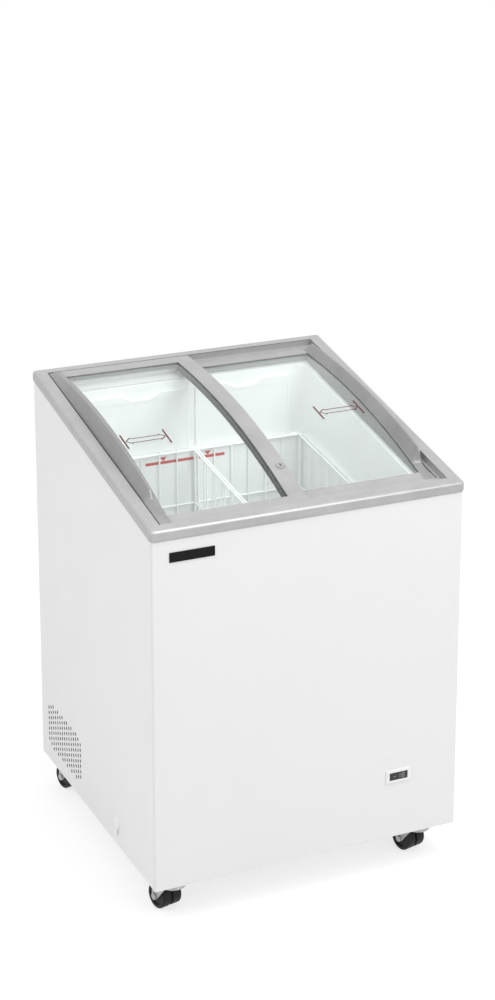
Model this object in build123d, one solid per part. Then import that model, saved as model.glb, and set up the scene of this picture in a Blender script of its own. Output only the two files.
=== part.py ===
from build123d import *
from math import asin, ceil, cos, degrees, pi, radians, sin, sqrt, tan
import os

os.makedirs("parts", exist_ok=True)

# The freezer stands on the floor at z = 0 with its front towards -Y. All sizes are in millimetres.

# Cabinet
BODY_W = 630.0  # over the side panels
BODY_D = 620.0  # over the front and rear panels
FLOOR_GAP = 76.0  # floor to the underside, which is a caster's height
FRONT_H = 681.0  # underside to the frame's lower edge at the front
SHEET = 0.8  # steel sheet of the panels
BASE_SHEET = 1.5  # steel sheet of the base pan
CORNER_R = 4.0  # bend at the front panel's upright edges
SEAT = 0.3  # gap where one part sits on another
CUT = 1.0  # how far a cutting body runs past a face

# Top frame
TOP_SLOPE = 11.32  # degrees from level
FRAME_LIP = 3.0  # how far the frame stands proud of the panels
FASCIA_H = 24.0  # upright face of the frame
FRAME_CORNER_R = 8.0
NOSE_R = 7.0
RIM_SIDE = 27.0  # width of the rim's top face at the sides
RIM_FRONT = 21.4
RIM_REAR = 23.4
RIM_T = 15.6  # rim's top face to its underside
SHEET_R = 1.0  # outer corners of the rear panels

# Lid tracks, measured from the rim's top face
UPPER_LEDGE = 12.3
LEVEL_DROP = 12.0  # lower track below the upper one
LEDGE_W = 24.0  # front and rear ledges
SIDE_LEDGE = 7.0
LOWER_SIDE_LEDGE = 26.0
TRACK_FLOOR_T = 4.2

# Lids
FRONT_PLAY = 0.5  # lid to the track's front wall
REAR_PLAY = 2.0
SIDE_PLAY = 1.5
GLIDE_T = 1.0
RAIL_TOP = 2.0  # a lid's front rail below the rim's top face
STILE_T = 10.0
MEET_W = 34.0  # stile where the two lids overlap
ARCH_RISE = 24.5  # crown of the glass above the rim's top face
ARCH_APEX = 25.5  # behind the middle, along the slope
ARCH_INSET = 38.0  # each end of the arch, in from the frame
GLASS_T = 4.0
GLASS_SET = 2.0  # glass below the face of its stiles
GLASS_GRIP = 8.0  # how far the glass runs into its frame
UPPER_MEET_X = 8.0  # free edge of the upper lid's overlap stile
LOWER_MEET_X = 26.0  # free edge of the lower lid's overlap stile, on the other side of the middle
UPPER_HANDLE_W = 23.5
LOWER_HANDLE_W = 23.0
LOWER_EDGE_GAP = 9.0  # channel between the lower lid and the rim
FRONT_RAIL_W = 27.0
UPPER_REAR_RAIL_W = 33.5
LOWER_REAR_RAIL_W = 25.0
REAR_FOOT_W = 22.0  # the deep part of a rear rail, which runs on the ledge
GRIP_INSET = 14.0  # crest of either finger grip, in from the track's side
GRIP_T = 3.0
GRIP_REAR_INSET = 51.0  # each end of a grip, in from the frame
GRIP_FRONT_INSET = 107.0
GRIP_DROP = 18.0  # length of the sweep at the grip's front end
GRIP_REAR_H = 8.0  # crest above the rim's top face
GRIP_MID_H = 28.5
GRIP_FRONT_H = 18.0
SEAL_W = 8.0
SEAL_T = 1.2
GLIDE_L = 40.0
GLIDE_W = 12.0

# Lock in the upper lid
LOCK_INSET = 130.0  # behind the front panel
LOCK_EDGE = 12.0  # middle to the stile's free edge
LOCK_FLANGE_R = 9.0
LOCK_FLANGE_T = 1.6
LOCK_BARREL_R = 6.0
LOCK_CORE_R = 4.0
RUN = 0.05  # radial running clearance
KEY_SLOT = (2.0, 6.5, 4.0)

# Liner
LINER_T = 1.5
SIDE_WALL = 63.0  # panel face to liner
FRONT_WALL = 54.0
REAR_WALL = 64.0
LINER_STEP_X = 10.0  # how far the lower walls stand in at the sides
LINER_STEP_Y = 14.0  # width of the shelves that the baskets hang on
LINER_R = 22.0
WELL_R = 12.0  # corners of the lower walls
WELL_RISE = 60.0  # underside to the liner's floor
HUMP_DEPTH = 280.0  # rear panel to the front of the hump over the machine room
HUMP_RISE = 60.0  # above the machine room's ceiling
LINER_FLANGE = 14.0

# Baskets
SHELF_SLOPE = 8.0  # degrees from level
BASKET_DROP = 63.0  # rear rim below the frame's top at the front
BASKET_RISE = 30.0  # floor above the hump
BASKET_RING_DROP = 114.0  # middle ring below the rear rim
BASKET_SIDE = 6.0  # outer side to the liner's lower wall
BASKET_GAP = 2.0
BASKET_CLEAR = 2.5  # wires to the liner's lower walls
BASKET_FRONT_CLEAR = 18.0
RIM_WIRE = 4.2
WIRE = 3.2
WIRE_PITCH = 46.0
WIRE_TIP = 6.0  # upright wires above the rim's middle
BASKET_LAP = 0.3  # between neighbouring wire mats
HOOK_WIRE = 3.6
HOOK_L = 10.0

# Rear liner panels
LINER_PANEL_SIDE = 32.0  # outer edge to the liner's side wall
LINER_PANEL_GAP = 12.0
LINER_PANEL_T = 5.5
LINER_PANEL_TOP = 46.0  # below the rim's top face
LINER_PANEL_SKIN = 2.2
LINER_PANEL_STEP = 1.2  # face below the lip
LINER_PANEL_LIP = 15.0
NOTCH_W = 84.0
NOTCH_FLAT = 36.0
NOTCH_D = 12.0
NOTCH_R = 10.0

# Machine room
ROOM_DEPTH = 235.0
ROOM_RISE = 270.0
PARTITION_T = 1.0
COVER_RISE = 5.0  # rear cover above the machine room's ceiling
COVER_T = 1.0
VENT_COLS = 15
VENT_ROWS = 9
VENT_PITCH_Y = 13.2
VENT_PITCH_Z = 11.7
VENT_W = 6.4
VENT_H = 8.4
VENT_INSET = 135.0  # rear panel to the middle of the vents
VENT_RISE = 81.0
LOUVRE_COUNT = 8
LOUVRE_L = 150.0
LOUVRE_H = 5.0
LOUVRE_PITCH = 14.0
LOUVRE_X = 93.0
PAN_SLOT_PITCH = 22.4
COVER_SCREW_INSET = 14.0

# Compressor, condenser and fan
COMP_SIDE = 205.0  # right panel to the compressor's middle
COMP_REAR = 115.0
COMP_R = 74.0
COMP_H = 150.0
COMP_ROUND = 26.0
COMP_LIFT = 4.0
COMP_FOOT = (200.0, 130.0, 4.5)
COMP_FOOT_R = 14.0
SEAM_PROUD = 2.5
SEAM_H = 5.0
SEAM_SHARE = 0.62
OUT_SHARE = 0.8  # height of the ports as a share of the can's
IN_SHARE = 0.4
PORT_L = 12.0
TERMINAL = (26.0, 64.0, 56.0)
TERMINAL_ROUND = 5.0
GROMMET_R = 11.0
GROMMET_H = 16.0
GROMMET_INSET = 16.0
GROMMET_WAIST = 3.0
COND_SIDE = 30.0  # left panel to the condenser's middle
COND_T = 38.0
COND_LEN = 160.0
COND_H = 160.0
COND_RISE = 90.0
COND_COLUMN = 9.5
COND_ROWS = 4
COND_TUBE_R = 4.0
COND_END = 8.0  # tube ends beyond the end plates
END_PLATE_T = 2.0
FIN_COUNT = 20
FIN_T = 0.6
FAN_OFFSET = 35.0  # condenser to fan
FAN_R = 58.0
SHROUD_R = 62.0
SHROUD_SIZE = 150.0
SHROUD_T = 12.0
FAN_BLADES = 5
BLADE_W = 16.0
BLADE_T = 2.0
BLADE_PITCH = 35.0  # degrees
BLADE_ROOT = 3.0
HUB_FRONT = 10.0
HUB_REAR = 8.0
HUB_R = 16.0
MOTOR_R = 34.0
MOTOR_L = 42.0
MOTOR_GAP = 18.0
MOTOR_ROUND = 6.0
ARM_R = 3.0
ARM_INSET = 8.0
SHAFT_R = 4.0
DRIER_R = 9.0
DRIER_L = 80.0
DRIER_END = 4.0
DRIER_SIDE = 170.0  # compressor to drier
DRIER_FRONT = 45.0
DRIER_DROP = 90.0  # below the ceiling
PIPE_R = 3.0
PIPE_BEND = 14.0
PIPE_REACH = 40.0  # length of a pipe's run before its bend
PIPE_RISE = 60.0

# Evaporator tube round the liner
COIL_R = 4.0
COIL_GAP = 0.3
COIL_RISE = 25.0  # above the hump
COIL_DROP = 103.0  # below the baskets' rear rim
COIL_TURNS = 4

# Front fittings
BADGE = (88.0, 18.6, 1.5)
BADGE_SIDE = 78.0
BADGE_ROUND = 1.0
BADGE_EDGE = 0.4
BADGE_DROP = 20.5  # below the frame's lower edge
BEZEL_W = 54.0
BEZEL_H = 27.0
BEZEL_T = 2.4
BEZEL_ROUND = 3.0
BEZEL_EDGE = 1.2
BEZEL_TUBE = 8.0
BEZEL_WALL = 1.5
DISPLAY_SIDE = 127.0
DISPLAY_RISE = 128.0
WINDOW_W = 39.0
WINDOW_H = 15.8
WINDOW_T = 1.0
WINDOW_SINK = 0.4
DISPLAY_CUT_W = 46.0
DISPLAY_CUT_H = 21.0
BOARD_DEPTH = 18.0
BOARD_T = 1.6

# Drain
DRAIN_INSET = 191.0  # front panel to the drain
DRAIN_RISE = 46.0
DRAIN_TUBE_R = 9.0
DRAIN_BORE_R = 7.0
DRAIN_REACH = 100.0
DRAIN_FLANGE_R = 13.0
DRAIN_FLANGE_T = 1.2
CAP_R = 8.5
CAP_T = 1.4
CAP_STEM = 12.0
TONGUE_R = 3.5
TONGUE_L = 12.0

# Thermostat, cord gland and screws on the rear cover
DIAL_SIDE = 135.0
DIAL_RISE = 195.0
DIAL_R = 17.0
DIAL_L = 9.0
DIAL_WINDOW_R = 21.0
DIAL_EDGE = 1.5
THERMOSTAT = (46.0, 26.0, 46.0)
THERMOSTAT_ROUND = 4.0
DIAL_SHAFT_R = 3.0
DIAL_SKIN = 2.0  # over the end of the shaft
KNURLS = 24
KNURL_R = 0.8
EAR_T = 2.0
EAR_W = 24.0
EAR_L = 12.0
GLAND_SIDE = 65.0
GLAND_RISE = 50.0
GLAND_R = 11.0
GLAND_BORE_R = 4.0
GLAND_FLANGE = 2.2
GLAND_FLANGE_W = 3.0
GLAND_EDGE = 1.0
GLAND_L = 8.0
SCREW_R = 2.0
SCREW_HEAD_R = 4.0
SCREW_HEAD_T = 1.8
SCREW_L = 9.0

# Casters
CASTER_SIDE = 55.0  # panels to the swivels
CASTER_FRONT = 49.0
CASTER_REAR = 55.0
CASTER_TURN = 13.0  # degrees, how the casters trail in the picture
WHEEL_R = 25.0
TREAD_W = 19.5
TREAD_GAP = 3.5
WHEEL_CORE_R = 21.0
TREAD_ROUND = 2.5
TRAIL = 26.0
PLATE_SIZE = 60.0
PLATE_T = 2.5
PLATE_ROUND = 5.0
RACE_R = 22.0
RACE_T = 10.0
RACE_GAP = 0.6
RACE_EDGE = 2.0
CROWN_T = 8.0
CROWN_EDGE = 1.2
CROWN_W = 3.0  # crown past the raceway
KINGPIN_END = 1.5  # past the crown
FORK_T = 2.0
BRIDGE_T = 3.0  # web between the fork's legs
FORK_ROUND = 3.5
FORK_TIP = 8.5
FORK_GAP = 1.2  # wheel to fork leg
AXLE_R = 4.0
AXLE_HEAD_R = 6.5
AXLE_HEAD_T = 3.0
AXLE_EDGE = 1.0
DISH_SHARE = 0.72
DISH_T = 2.0
BOLT_R = 3.0
BOLT_HEAD_R = 5.5
BOLT_HEAD_T = 2.6
BOLT_EDGE = 1.0
BOLT_END = 2.0  # past the base pan
BOLT_INSET = 9.0

# Worked out from the sizes above
SLOPE = radians(TOP_SLOPE)
FRAME_W = BODY_W + 2 * FRAME_LIP
FRAME_D = BODY_D + 2 * FRAME_LIP
FRONT_TOP = FLOOR_GAP + FRONT_H + FASCIA_H
RIM_MID = FRONT_TOP + FRAME_D / 2 * tan(SLOPE)
CEILING = FLOOR_GAP + ROOM_RISE
DECK = Location((0, 0, RIM_MID), (TOP_SLOPE, 0, 0))
EDGE_U = FRAME_D / 2 / cos(SLOPE)
TRACK_FRONT = -EDGE_U + RIM_FRONT
TRACK_REAR = EDGE_U - RIM_REAR
TRACK_X = FRAME_W / 2 - RIM_SIDE
LOWER_LEDGE = UPPER_LEDGE + LEVEL_DROP
TRACK_BOTTOM = LOWER_LEDGE + TRACK_FLOOR_T
LOW_FRONT = TRACK_FRONT + LEDGE_W
LOW_REAR = TRACK_REAR - LEDGE_W
LOW_X = TRACK_X - SIDE_LEDGE
MOUTH_FRONT = LOW_FRONT + LEDGE_W
MOUTH_REAR = LOW_REAR - LEDGE_W
MOUTH_X = LOW_X - LOWER_SIDE_LEDGE
ARCH_HALF = FRAME_D / 2 - ARCH_INSET
ARCH_R = (ARCH_HALF**2 + ARCH_RISE**2) / (2 * ARCH_RISE)
GRIP_X = TRACK_X - GRIP_INSET
GRIP_REAR = FRAME_D / 2 - GRIP_REAR_INSET
GRIP_FRONT = GRIP_FRONT_INSET - FRAME_D / 2
LOCK_Y = LOCK_INSET - BODY_D / 2
LID_BOTTOM = -(UPPER_LEDGE - SEAT)
RAIL_BOTTOM = LID_BOTTOM + GLIDE_T
PANEL_TOP = RIM_T + SEAT
LINER_X = BODY_W / 2 - SIDE_WALL
LINER_FRONT = FRONT_WALL - BODY_D / 2
LINER_REAR = BODY_D / 2 - REAR_WALL
LOWER_X = LINER_X - LINER_STEP_X
LOWER_FRONT = LINER_FRONT + LINER_STEP_Y
LOWER_REAR = LINER_REAR - LINER_STEP_Y
UNDER = FLOOR_GAP
BASE_TOP = UNDER + BASE_SHEET
INNER_X = BODY_W / 2 - SHEET
INNER_Y = BODY_D / 2 - SHEET
ROOM_FRONT = BODY_D / 2 - ROOM_DEPTH
COVER_TOP = CEILING + COVER_RISE
WELL_FLOOR = UNDER + WELL_RISE
WELL_REAR = BODY_D / 2 - HUMP_DEPTH
HUMP_TOP = CEILING + HUMP_RISE
BASKET_X = LOWER_X - BASKET_SIDE
BASKET_RIM_Z = FRONT_TOP - BASKET_DROP
BASKET_RING_Z = BASKET_RIM_Z - BASKET_RING_DROP
BASKET_FLOOR_Z = HUMP_TOP + BASKET_RISE
LINER_PANEL_X = LINER_X - LINER_PANEL_SIDE
COIL_LOW = HUMP_TOP + COIL_RISE
COIL_PITCH = (BASKET_RIM_Z - COIL_DROP - COIL_LOW) / COIL_TURNS
BADGE_X = BADGE_SIDE - BODY_W / 2
DISPLAY_X = BODY_W / 2 - DISPLAY_SIDE
DISPLAY_Z = UNDER + DISPLAY_RISE
DRAIN_Y = DRAIN_INSET - BODY_D / 2
DRAIN_Z = UNDER + DRAIN_RISE
DRAIN_IN_X = BODY_W / 2 - DRAIN_REACH
VENT_Y = BODY_D / 2 - VENT_INSET
VENT_Z = UNDER + VENT_RISE
COMP_X = BODY_W / 2 - COMP_SIDE
COMP_Y = BODY_D / 2 - COMP_REAR
COMP_LOW = BASE_TOP + GROMMET_H
COND_X = COND_SIDE - BODY_W / 2
COND_Z = UNDER + COND_RISE
FAN_X = COND_X + FAN_OFFSET
DRIER_PLACE = (COMP_X - DRIER_SIDE, ROOM_FRONT + DRIER_FRONT, CEILING - DRIER_DROP)
DIAL_X = BODY_W / 2 - DIAL_SIDE
DIAL_Z = UNDER + DIAL_RISE
GLAND_X = BODY_W / 2 - GLAND_SIDE
GLAND_Z = UNDER + GLAND_RISE
CASTER_X = BODY_W / 2 - CASTER_SIDE
CASTER_FRONT_Y = CASTER_FRONT - BODY_D / 2
CASTER_REAR_Y = BODY_D / 2 - CASTER_REAR


def rim_z(y):
    """Height of the rim's top face at a distance from the middle."""
    return RIM_MID + y * tan(SLOPE)


def drop(depth):
    """Upright distance of a depth measured square to the rim's top face."""
    return depth / cos(SLOPE)


def block(x0, x1, y0, y1, z0, z1):
    """A box between two corners."""
    middle = ((x0 + x1) / 2, (y0 + y1) / 2, (z0 + z1) / 2)
    return Pos(*middle) * Box(x1 - x0, y1 - y0, z1 - z0)


def round_block(x0, x1, y0, y1, z0, z1, radius):
    """A box with its upright edges rounded."""
    outline = RectangleRounded(x1 - x0, y1 - y0, radius)
    return Pos((x0 + x1) / 2, (y0 + y1) / 2, z0) * extrude(outline, z1 - z0)


def bar(start, end, radius):
    """A round bar between two points."""
    start, end = Vector(*start), Vector(*end)
    way = end - start
    plane = Plane(origin=start, z_dir=way)
    return extrude(plane * Circle(radius), way.length)


def side_solid(points, x0, x1):
    """A flat outline in the upright plane along Y, carried from x0 to x1."""
    corners = [(x0, y, z) for y, z in points]
    outline = make_face(Polyline(*corners, close=True))
    return extrude(outline, x1 - x0, dir=(1, 0, 0))


def under_rim(y0, y1, z0, depth):
    """Corners of an upright panel that ends below the sloping rim."""
    return [(y0, z0), (y1, z0), (y1, rim_z(y1) - depth), (y0, rim_z(y0) - depth)]


def screw(x, y, z, radius, length, head_radius, head_height, turn):
    """A screw whose head stands up before it is turned."""
    shank = Pos(0, 0, -length / 2) * Cylinder(radius, length)
    head = Pos(0, 0, head_height / 2) * Cylinder(head_radius, head_height)
    head = fillet(head.edges().group_by(Axis.Z)[-1], head_height * 0.4)
    recess = Pos(0, 0, head_height) * Box(head_radius, 0.9, head_height * 0.8)
    cross = recess + Rot(0, 0, 90) * recess
    return Pos(x, y, z) * Rot(*turn) * (shank + head - cross)


# Top frame and tracks


def deck_slab(top, bottom):
    """A wide slab between two depths below the rim's top face."""
    return DECK * block(-BODY_W, BODY_W, -BODY_D, BODY_D, -bottom, -top)


def deck_block(x0, x1, u0, u1, top, bottom):
    """A box in the lids' sloping frame, between two depths below the rim's top face."""
    return DECK * block(x0, x1, u0, u1, -bottom, -top)


def upright(width, depth, radius):
    """A tall prism that stands in the cabinet's plan."""
    return Pos(0, 0, UNDER) * extrude(RectangleRounded(width, depth, radius), 2 * FRONT_H)


def top_frame():
    lip = FASCIA_H * cos(SLOPE)
    frame = upright(FRAME_W, FRAME_D, FRAME_CORNER_R) & deck_slab(0, lip)
    frame = fillet(frame.faces().sort_by(Axis.Z)[-1].edges(), NOSE_R)
    tuck = upright(BODY_W + 2 * SEAT, BODY_D + 2 * SEAT, SHEET_R + SEAT)
    frame -= tuck & deck_slab(RIM_T, 2 * lip)
    frame -= deck_block(-TRACK_X, TRACK_X, TRACK_FRONT, TRACK_REAR, -CUT, UPPER_LEDGE)
    frame -= deck_block(-LOW_X, LOW_X, LOW_FRONT, LOW_REAR, -CUT, 2 * lip)
    return frame


def lower_track():
    ring = deck_block(-TRACK_X, TRACK_X, TRACK_FRONT, TRACK_REAR, PANEL_TOP, TRACK_BOTTOM)
    ring -= deck_block(-LOW_X, LOW_X, LOW_FRONT, LOW_REAR, 0, LOWER_LEDGE)
    ring -= deck_block(-MOUTH_X, MOUTH_X, MOUTH_FRONT, MOUTH_REAR, 0, TRACK_BOTTOM + CUT)
    return ring


# Lids, drawn in their own sloping frame with the handle on the left


def arch(u, offset=0.0):
    """Height of the curved top of a lid above the rim's plane."""
    radius = ARCH_R + offset
    return ARCH_RISE - ARCH_R + sqrt(radius**2 - (u - ARCH_APEX) ** 2)


def lid_top(u):
    """Top of a lid, which is flat where its front rail would sink below the rim."""
    return max(arch(u), -RAIL_TOP)


FLAT_END = ARCH_APEX - sqrt(ARCH_R**2 - (ARCH_R - ARCH_RISE - RAIL_TOP) ** 2)


def arch_edge(x, u0, u1, offset=0.0):
    mid = (u0 + u1) / 2
    ends = [(x, u, arch(u, offset)) for u in (u0, mid, u1)]
    return ThreePointArc(*ends)


def arch_band(x0, x1, u0, u1, top, bottom):
    """A curved band, such as the glass, between two offsets from the lid's top."""
    upper = arch_edge(x0, u0, u1, top)
    lower = arch_edge(x0, u0, u1, bottom)
    ends = [Line(upper @ 0, lower @ 0), Line(upper @ 1, lower @ 1)]
    return extrude(make_face([upper, lower] + ends), x1 - x0, dir=(1, 0, 0))


def rail(x0, x1, u0, u1):
    """A straight rail under the lid's top line."""
    low, high = sorted((u0, u1))
    tops = [u for u in (low, FLAT_END, high) if low <= u <= high]
    points = [(high, RAIL_BOTTOM), (low, RAIL_BOTTOM)] + [(u, lid_top(u)) for u in tops]
    return side_solid(points, x0, x1)


class Lid:
    """Sizes of one lid, with its handle at the left."""

    def __init__(self, edge, meet, front, rear, handle_w, rear_rail, lowered):
        self.edge = edge
        self.meet = meet
        self.front = front
        self.rear = rear
        self.glass_x = edge + handle_w
        self.glass_end = meet - MEET_W
        self.glass_front = front + FRONT_RAIL_W
        self.glass_rear = rear - rear_rail
        self.foot = rear - REAR_FOOT_W
        self.lowered = lowered


UPPER_LID = Lid(
    edge=-TRACK_X + SIDE_PLAY,
    meet=UPPER_MEET_X,
    front=TRACK_FRONT + FRONT_PLAY,
    rear=TRACK_REAR - REAR_PLAY,
    handle_w=UPPER_HANDLE_W,
    rear_rail=UPPER_REAR_RAIL_W,
    lowered=0.0,
)
LOWER_LID = Lid(
    edge=-TRACK_X + LOWER_EDGE_GAP,
    meet=LOWER_MEET_X,
    front=LOW_FRONT + FRONT_PLAY,
    rear=LOW_REAR - REAR_PLAY,
    handle_w=LOWER_HANDLE_W,
    rear_rail=LOWER_REAR_RAIL_W,
    lowered=LEVEL_DROP,
)


def place_lid(lid, shape):
    """Puts a lid's piece on its track, and mirrors the lower lid to the right."""
    if lid.lowered:
        shape = mirror(Pos(0, 0, -lid.lowered) * shape, Plane.YZ)
    return DECK * shape


def glass_body(lid, grow=0.0):
    reach = GLASS_GRIP + grow
    sides = (lid.glass_x - reach, lid.glass_end + reach)
    ends = (lid.glass_front - reach, lid.glass_rear + reach)
    return arch_band(*sides, *ends, grow - GLASS_SET, -grow - GLASS_SET - GLASS_T)


def lock_place(lid):
    """Where the lock stands on the overlap stile, square to its curve."""
    u = LOCK_Y / cos(SLOPE)
    lean = degrees(asin((u - ARCH_APEX) / ARCH_R))
    return Pos(lid.meet - LOCK_EDGE, u, arch(u)) * Rot(-lean, 0, 0)


def lid_frame(lid):
    inner = lid.meet - MEET_W
    frame = arch_band(inner, lid.meet, FLAT_END, lid.rear, 0, -STILE_T)
    frame += rail(inner, lid.meet, lid.front, max(lid.glass_front, FLAT_END + CUT))
    frame += rail(lid.glass_x, inner, lid.front, lid.glass_front)
    frame += arch_band(lid.glass_x, inner, lid.glass_rear, lid.rear, 0, -STILE_T)
    frame += rail(lid.glass_x, lid.meet, lid.foot, lid.rear)
    frame -= glass_body(lid, SEAT)
    if not lid.lowered:
        frame -= lock_place(lid) * Cylinder(LOCK_BARREL_R + SEAT, 3 * STILE_T)
    return place_lid(lid, frame)


def handle_wire(lid, x, crest):
    """Side outline of the handle stile at one x. The crest is none, grip or glass."""
    notch = GRIP_FRONT - GRIP_DROP
    foot = -RAIL_TOP / 2
    stations = (lid.front, FLAT_END, notch, GRIP_FRONT, GRIP_REAR, lid.rear)
    stations = [min(max(u, lid.front + i), lid.rear - 5 + i) for i, u in enumerate(stations)]
    if crest == "none":
        heights = [foot] * len(stations)
    else:
        heights = [lid_top(u) for u in stations]
    if crest == "grip":
        heights[3] = GRIP_FRONT_H + lid.lowered
        heights[4] = GRIP_REAR_H + lid.lowered
    points = [(x, u, v) for u, v in zip(stations, heights)]
    turn = (stations[2] + stations[3]) / 2
    sweep = Bezier(points[2], (x, turn, heights[2]), (x, turn, heights[3]), points[3])
    mid = (stations[3] + stations[4]) / 2
    if crest == "none":
        crown = Line(points[3], points[4])
    elif crest == "grip":
        crown = ThreePointArc(points[3], (x, mid, GRIP_MID_H + lid.lowered), points[4])
    else:
        crown = ThreePointArc(points[3], (x, mid, arch(mid)), points[4])
    front = (x, lid.front, RAIL_BOTTOM)
    rear = (x, lid.rear, RAIL_BOTTOM)
    edges = [Line(points[0], points[1]), Line(points[1], points[2]), sweep, crown]
    edges += [Line(points[4], points[5]), Line(points[5], rear), Line(rear, front)]
    return Wire(edges + [Line(front, points[0])])


def lid_handle(lid):
    """The outer stile, which rises into a curved finger grip beside the glass."""
    crest_x = -GRIP_X
    stations = [
        (lid.edge, "none"),
        (crest_x, "grip"),
        (crest_x + GRIP_T, "grip"),
        (lid.glass_x - GLASS_SET, "glass"),
        (lid.glass_x, "glass"),
    ]
    wires = [handle_wire(lid, x, crest) for x, crest in stations]
    slices = [Solid.make_loft([a, b], True) for a, b in zip(wires, wires[1:])]
    handle = slices[0].fuse(*slices[1:])
    return place_lid(lid, Part() + handle - glass_body(lid, SEAT))


def lid_glides(lid):
    """Four low-friction shoes under the rails."""
    shoes = Part()
    for x in (lid.glass_x + GLIDE_L, lid.meet - MEET_W - GLIDE_L):
        for u in (lid.front + GLIDE_W, lid.rear - GLIDE_W):
            sides = (x - GLIDE_L / 2, x + GLIDE_L / 2, u - GLIDE_W / 2, u + GLIDE_W / 2)
            shoes += round_block(*sides, LID_BOTTOM, RAIL_BOTTOM, GLIDE_W / 3)
    return place_lid(lid, shoes)


def centre_seal(lid):
    middle = lid.meet - MEET_W / 2
    ends = (LOCK_Y / cos(SLOPE) + 2 * LOCK_FLANGE_R, lid.foot - MEET_W)
    sides = (middle - SEAL_W / 2, middle + SEAL_W / 2)
    seal = arch_band(*sides, *ends, -STILE_T - SEAT, -STILE_T - SEAT - SEAL_T)
    return place_lid(lid, seal)


def lock_body(lid):
    flange = Pos(0, 0, LOCK_FLANGE_T / 2) * Cylinder(LOCK_FLANGE_R, LOCK_FLANGE_T)
    flange = fillet(flange.edges().group_by(Axis.Z)[-1], LOCK_FLANGE_T * 0.6)
    length = STILE_T + SEAT
    barrel = Pos(0, 0, -length / 2) * Cylinder(LOCK_BARREL_R, length)
    bore = Pos(0, 0, CUT) * Cylinder(LOCK_CORE_R + RUN, 2 * STILE_T)
    return place_lid(lid, lock_place(lid) * Pos(0, 0, SEAT) * (flange + barrel - bore))


def lock_core(lid):
    top = LOCK_FLANGE_T + SEAT
    low = -STILE_T + 2 * CUT
    core = Pos(0, 0, (top + low) / 2) * Cylinder(LOCK_CORE_R, top - low)
    core -= Pos(0, 0, top - KEY_SLOT[2] / 2 + CUT) * Box(*KEY_SLOT)
    return place_lid(lid, lock_place(lid) * core)


# Cabinet panels


def front_panel():
    outer = RectangleRounded(BODY_W, BODY_D, CORNER_R)
    inner = RectangleRounded(BODY_W - 2 * SHEET, BODY_D - 2 * SHEET, CORNER_R - SHEET)
    shell = extrude(outer - inner, rim_z(-BODY_D / 2) - drop(PANEL_TOP) - UNDER)
    depth = CORNER_R + SHEET
    front = -BODY_D / 2
    panel = Pos(0, 0, UNDER) * shell & block(-BODY_W, BODY_W, front, front + depth, 0, FRONT_TOP)
    return panel - display_cut()


def side_panel(side):
    x = side * BODY_W / 2
    y0 = -BODY_D / 2 + CORNER_R + SHEET
    points = under_rim(y0, BODY_D / 2, UNDER, drop(PANEL_TOP))
    panel = side_solid(points, x, x - side * SHEET) & upright(BODY_W, BODY_D, SHEET_R)
    if side < 0:
        panel -= drain_passage()
    return panel - vent_slots(x)


def vent_slots(x):
    """Upright slots in staggered columns, two short in the first and last one."""
    slot = Plane.YZ * SlotOverall(VENT_H, VENT_W, rotation=90)
    places = []
    for col in range(VENT_COLS):
        outermost = col in (0, VENT_COLS - 1)
        rows = VENT_ROWS - 2 if outermost else VENT_ROWS - col % 2
        for row in range(rows):
            y = VENT_Y + (col - (VENT_COLS - 1) / 2) * VENT_PITCH_Y
            z = VENT_Z + (row - (rows - 1) / 2) * VENT_PITCH_Z
            places.append(Pos(0, y, z))
    slots = extrude(Sketch() + [place * slot for place in places], 2 * SHEET, both=True)
    return Pos(x, 0, 0) * slots


def rear_panel():
    y = BODY_D / 2
    top = rim_z(y - SHEET) - drop(PANEL_TOP)
    return block(-INNER_X + SEAT, INNER_X - SEAT, y - SHEET, y, COVER_TOP, top)


def rear_cover():
    y = BODY_D / 2
    edge = INNER_X - SEAT
    cover = block(-edge, edge, y - COVER_T, y, BASE_TOP, COVER_TOP - SEAT)
    for side in (-1, 1):
        for n in range(LOUVRE_COUNT):
            z = VENT_Z + (n - (LOUVRE_COUNT - 1) / 2) * LOUVRE_PITCH
            slot = Plane.XZ * SlotOverall(LOUVRE_L, LOUVRE_H)
            cover -= Pos(side * LOUVRE_X, y, z) * extrude(slot, 2 * COVER_T, both=True)
    cover -= bar((DIAL_X, y - 2 * COVER_T, DIAL_Z), (DIAL_X, y + CUT, DIAL_Z), DIAL_WINDOW_R)
    cover -= bar((GLAND_X, y - 2 * COVER_T, GLAND_Z), (GLAND_X, y + CUT, GLAND_Z), GLAND_R)
    for x, z in cover_screw_places():
        cover -= bar((x, y - 2 * COVER_T, z), (x, y + CUT, z), SCREW_R + SEAT)
    return cover


def cover_screw_places():
    xs = (-INNER_X + COVER_SCREW_INSET, 0, INNER_X - COVER_SCREW_INSET)
    zs = (BASE_TOP + COVER_SCREW_INSET, COVER_TOP - COVER_SCREW_INSET)
    return [(x, z) for x in xs for z in zs]


def cover_screws():
    y = BODY_D / 2
    group = Part()
    for x, z in cover_screw_places():
        group += screw(x, y, z, SCREW_R, SCREW_L, SCREW_HEAD_R, SCREW_HEAD_T, (-90, 0, 0))
    return group


def base_pan():
    x, y = INNER_X - SEAT, INNER_Y - SEAT
    pan = round_block(-x, x, -y, y, UNDER, BASE_TOP, CORNER_R)
    for x, y in caster_bolt_places():
        pan -= bar((x, y, UNDER - CUT), (x, y, BASE_TOP + CUT), BOLT_R + SEAT)
    slot = SlotOverall(LOUVRE_L, LOUVRE_H)
    slots = LOUVRE_COUNT // 2
    for n in range(slots):
        y = COMP_Y + (n - (slots - 1) / 2) * PAN_SLOT_PITCH
        pan -= Pos(-LOUVRE_L / 2, y, UNDER) * extrude(slot, 2 * BASE_SHEET, both=True)
    return pan


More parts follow.
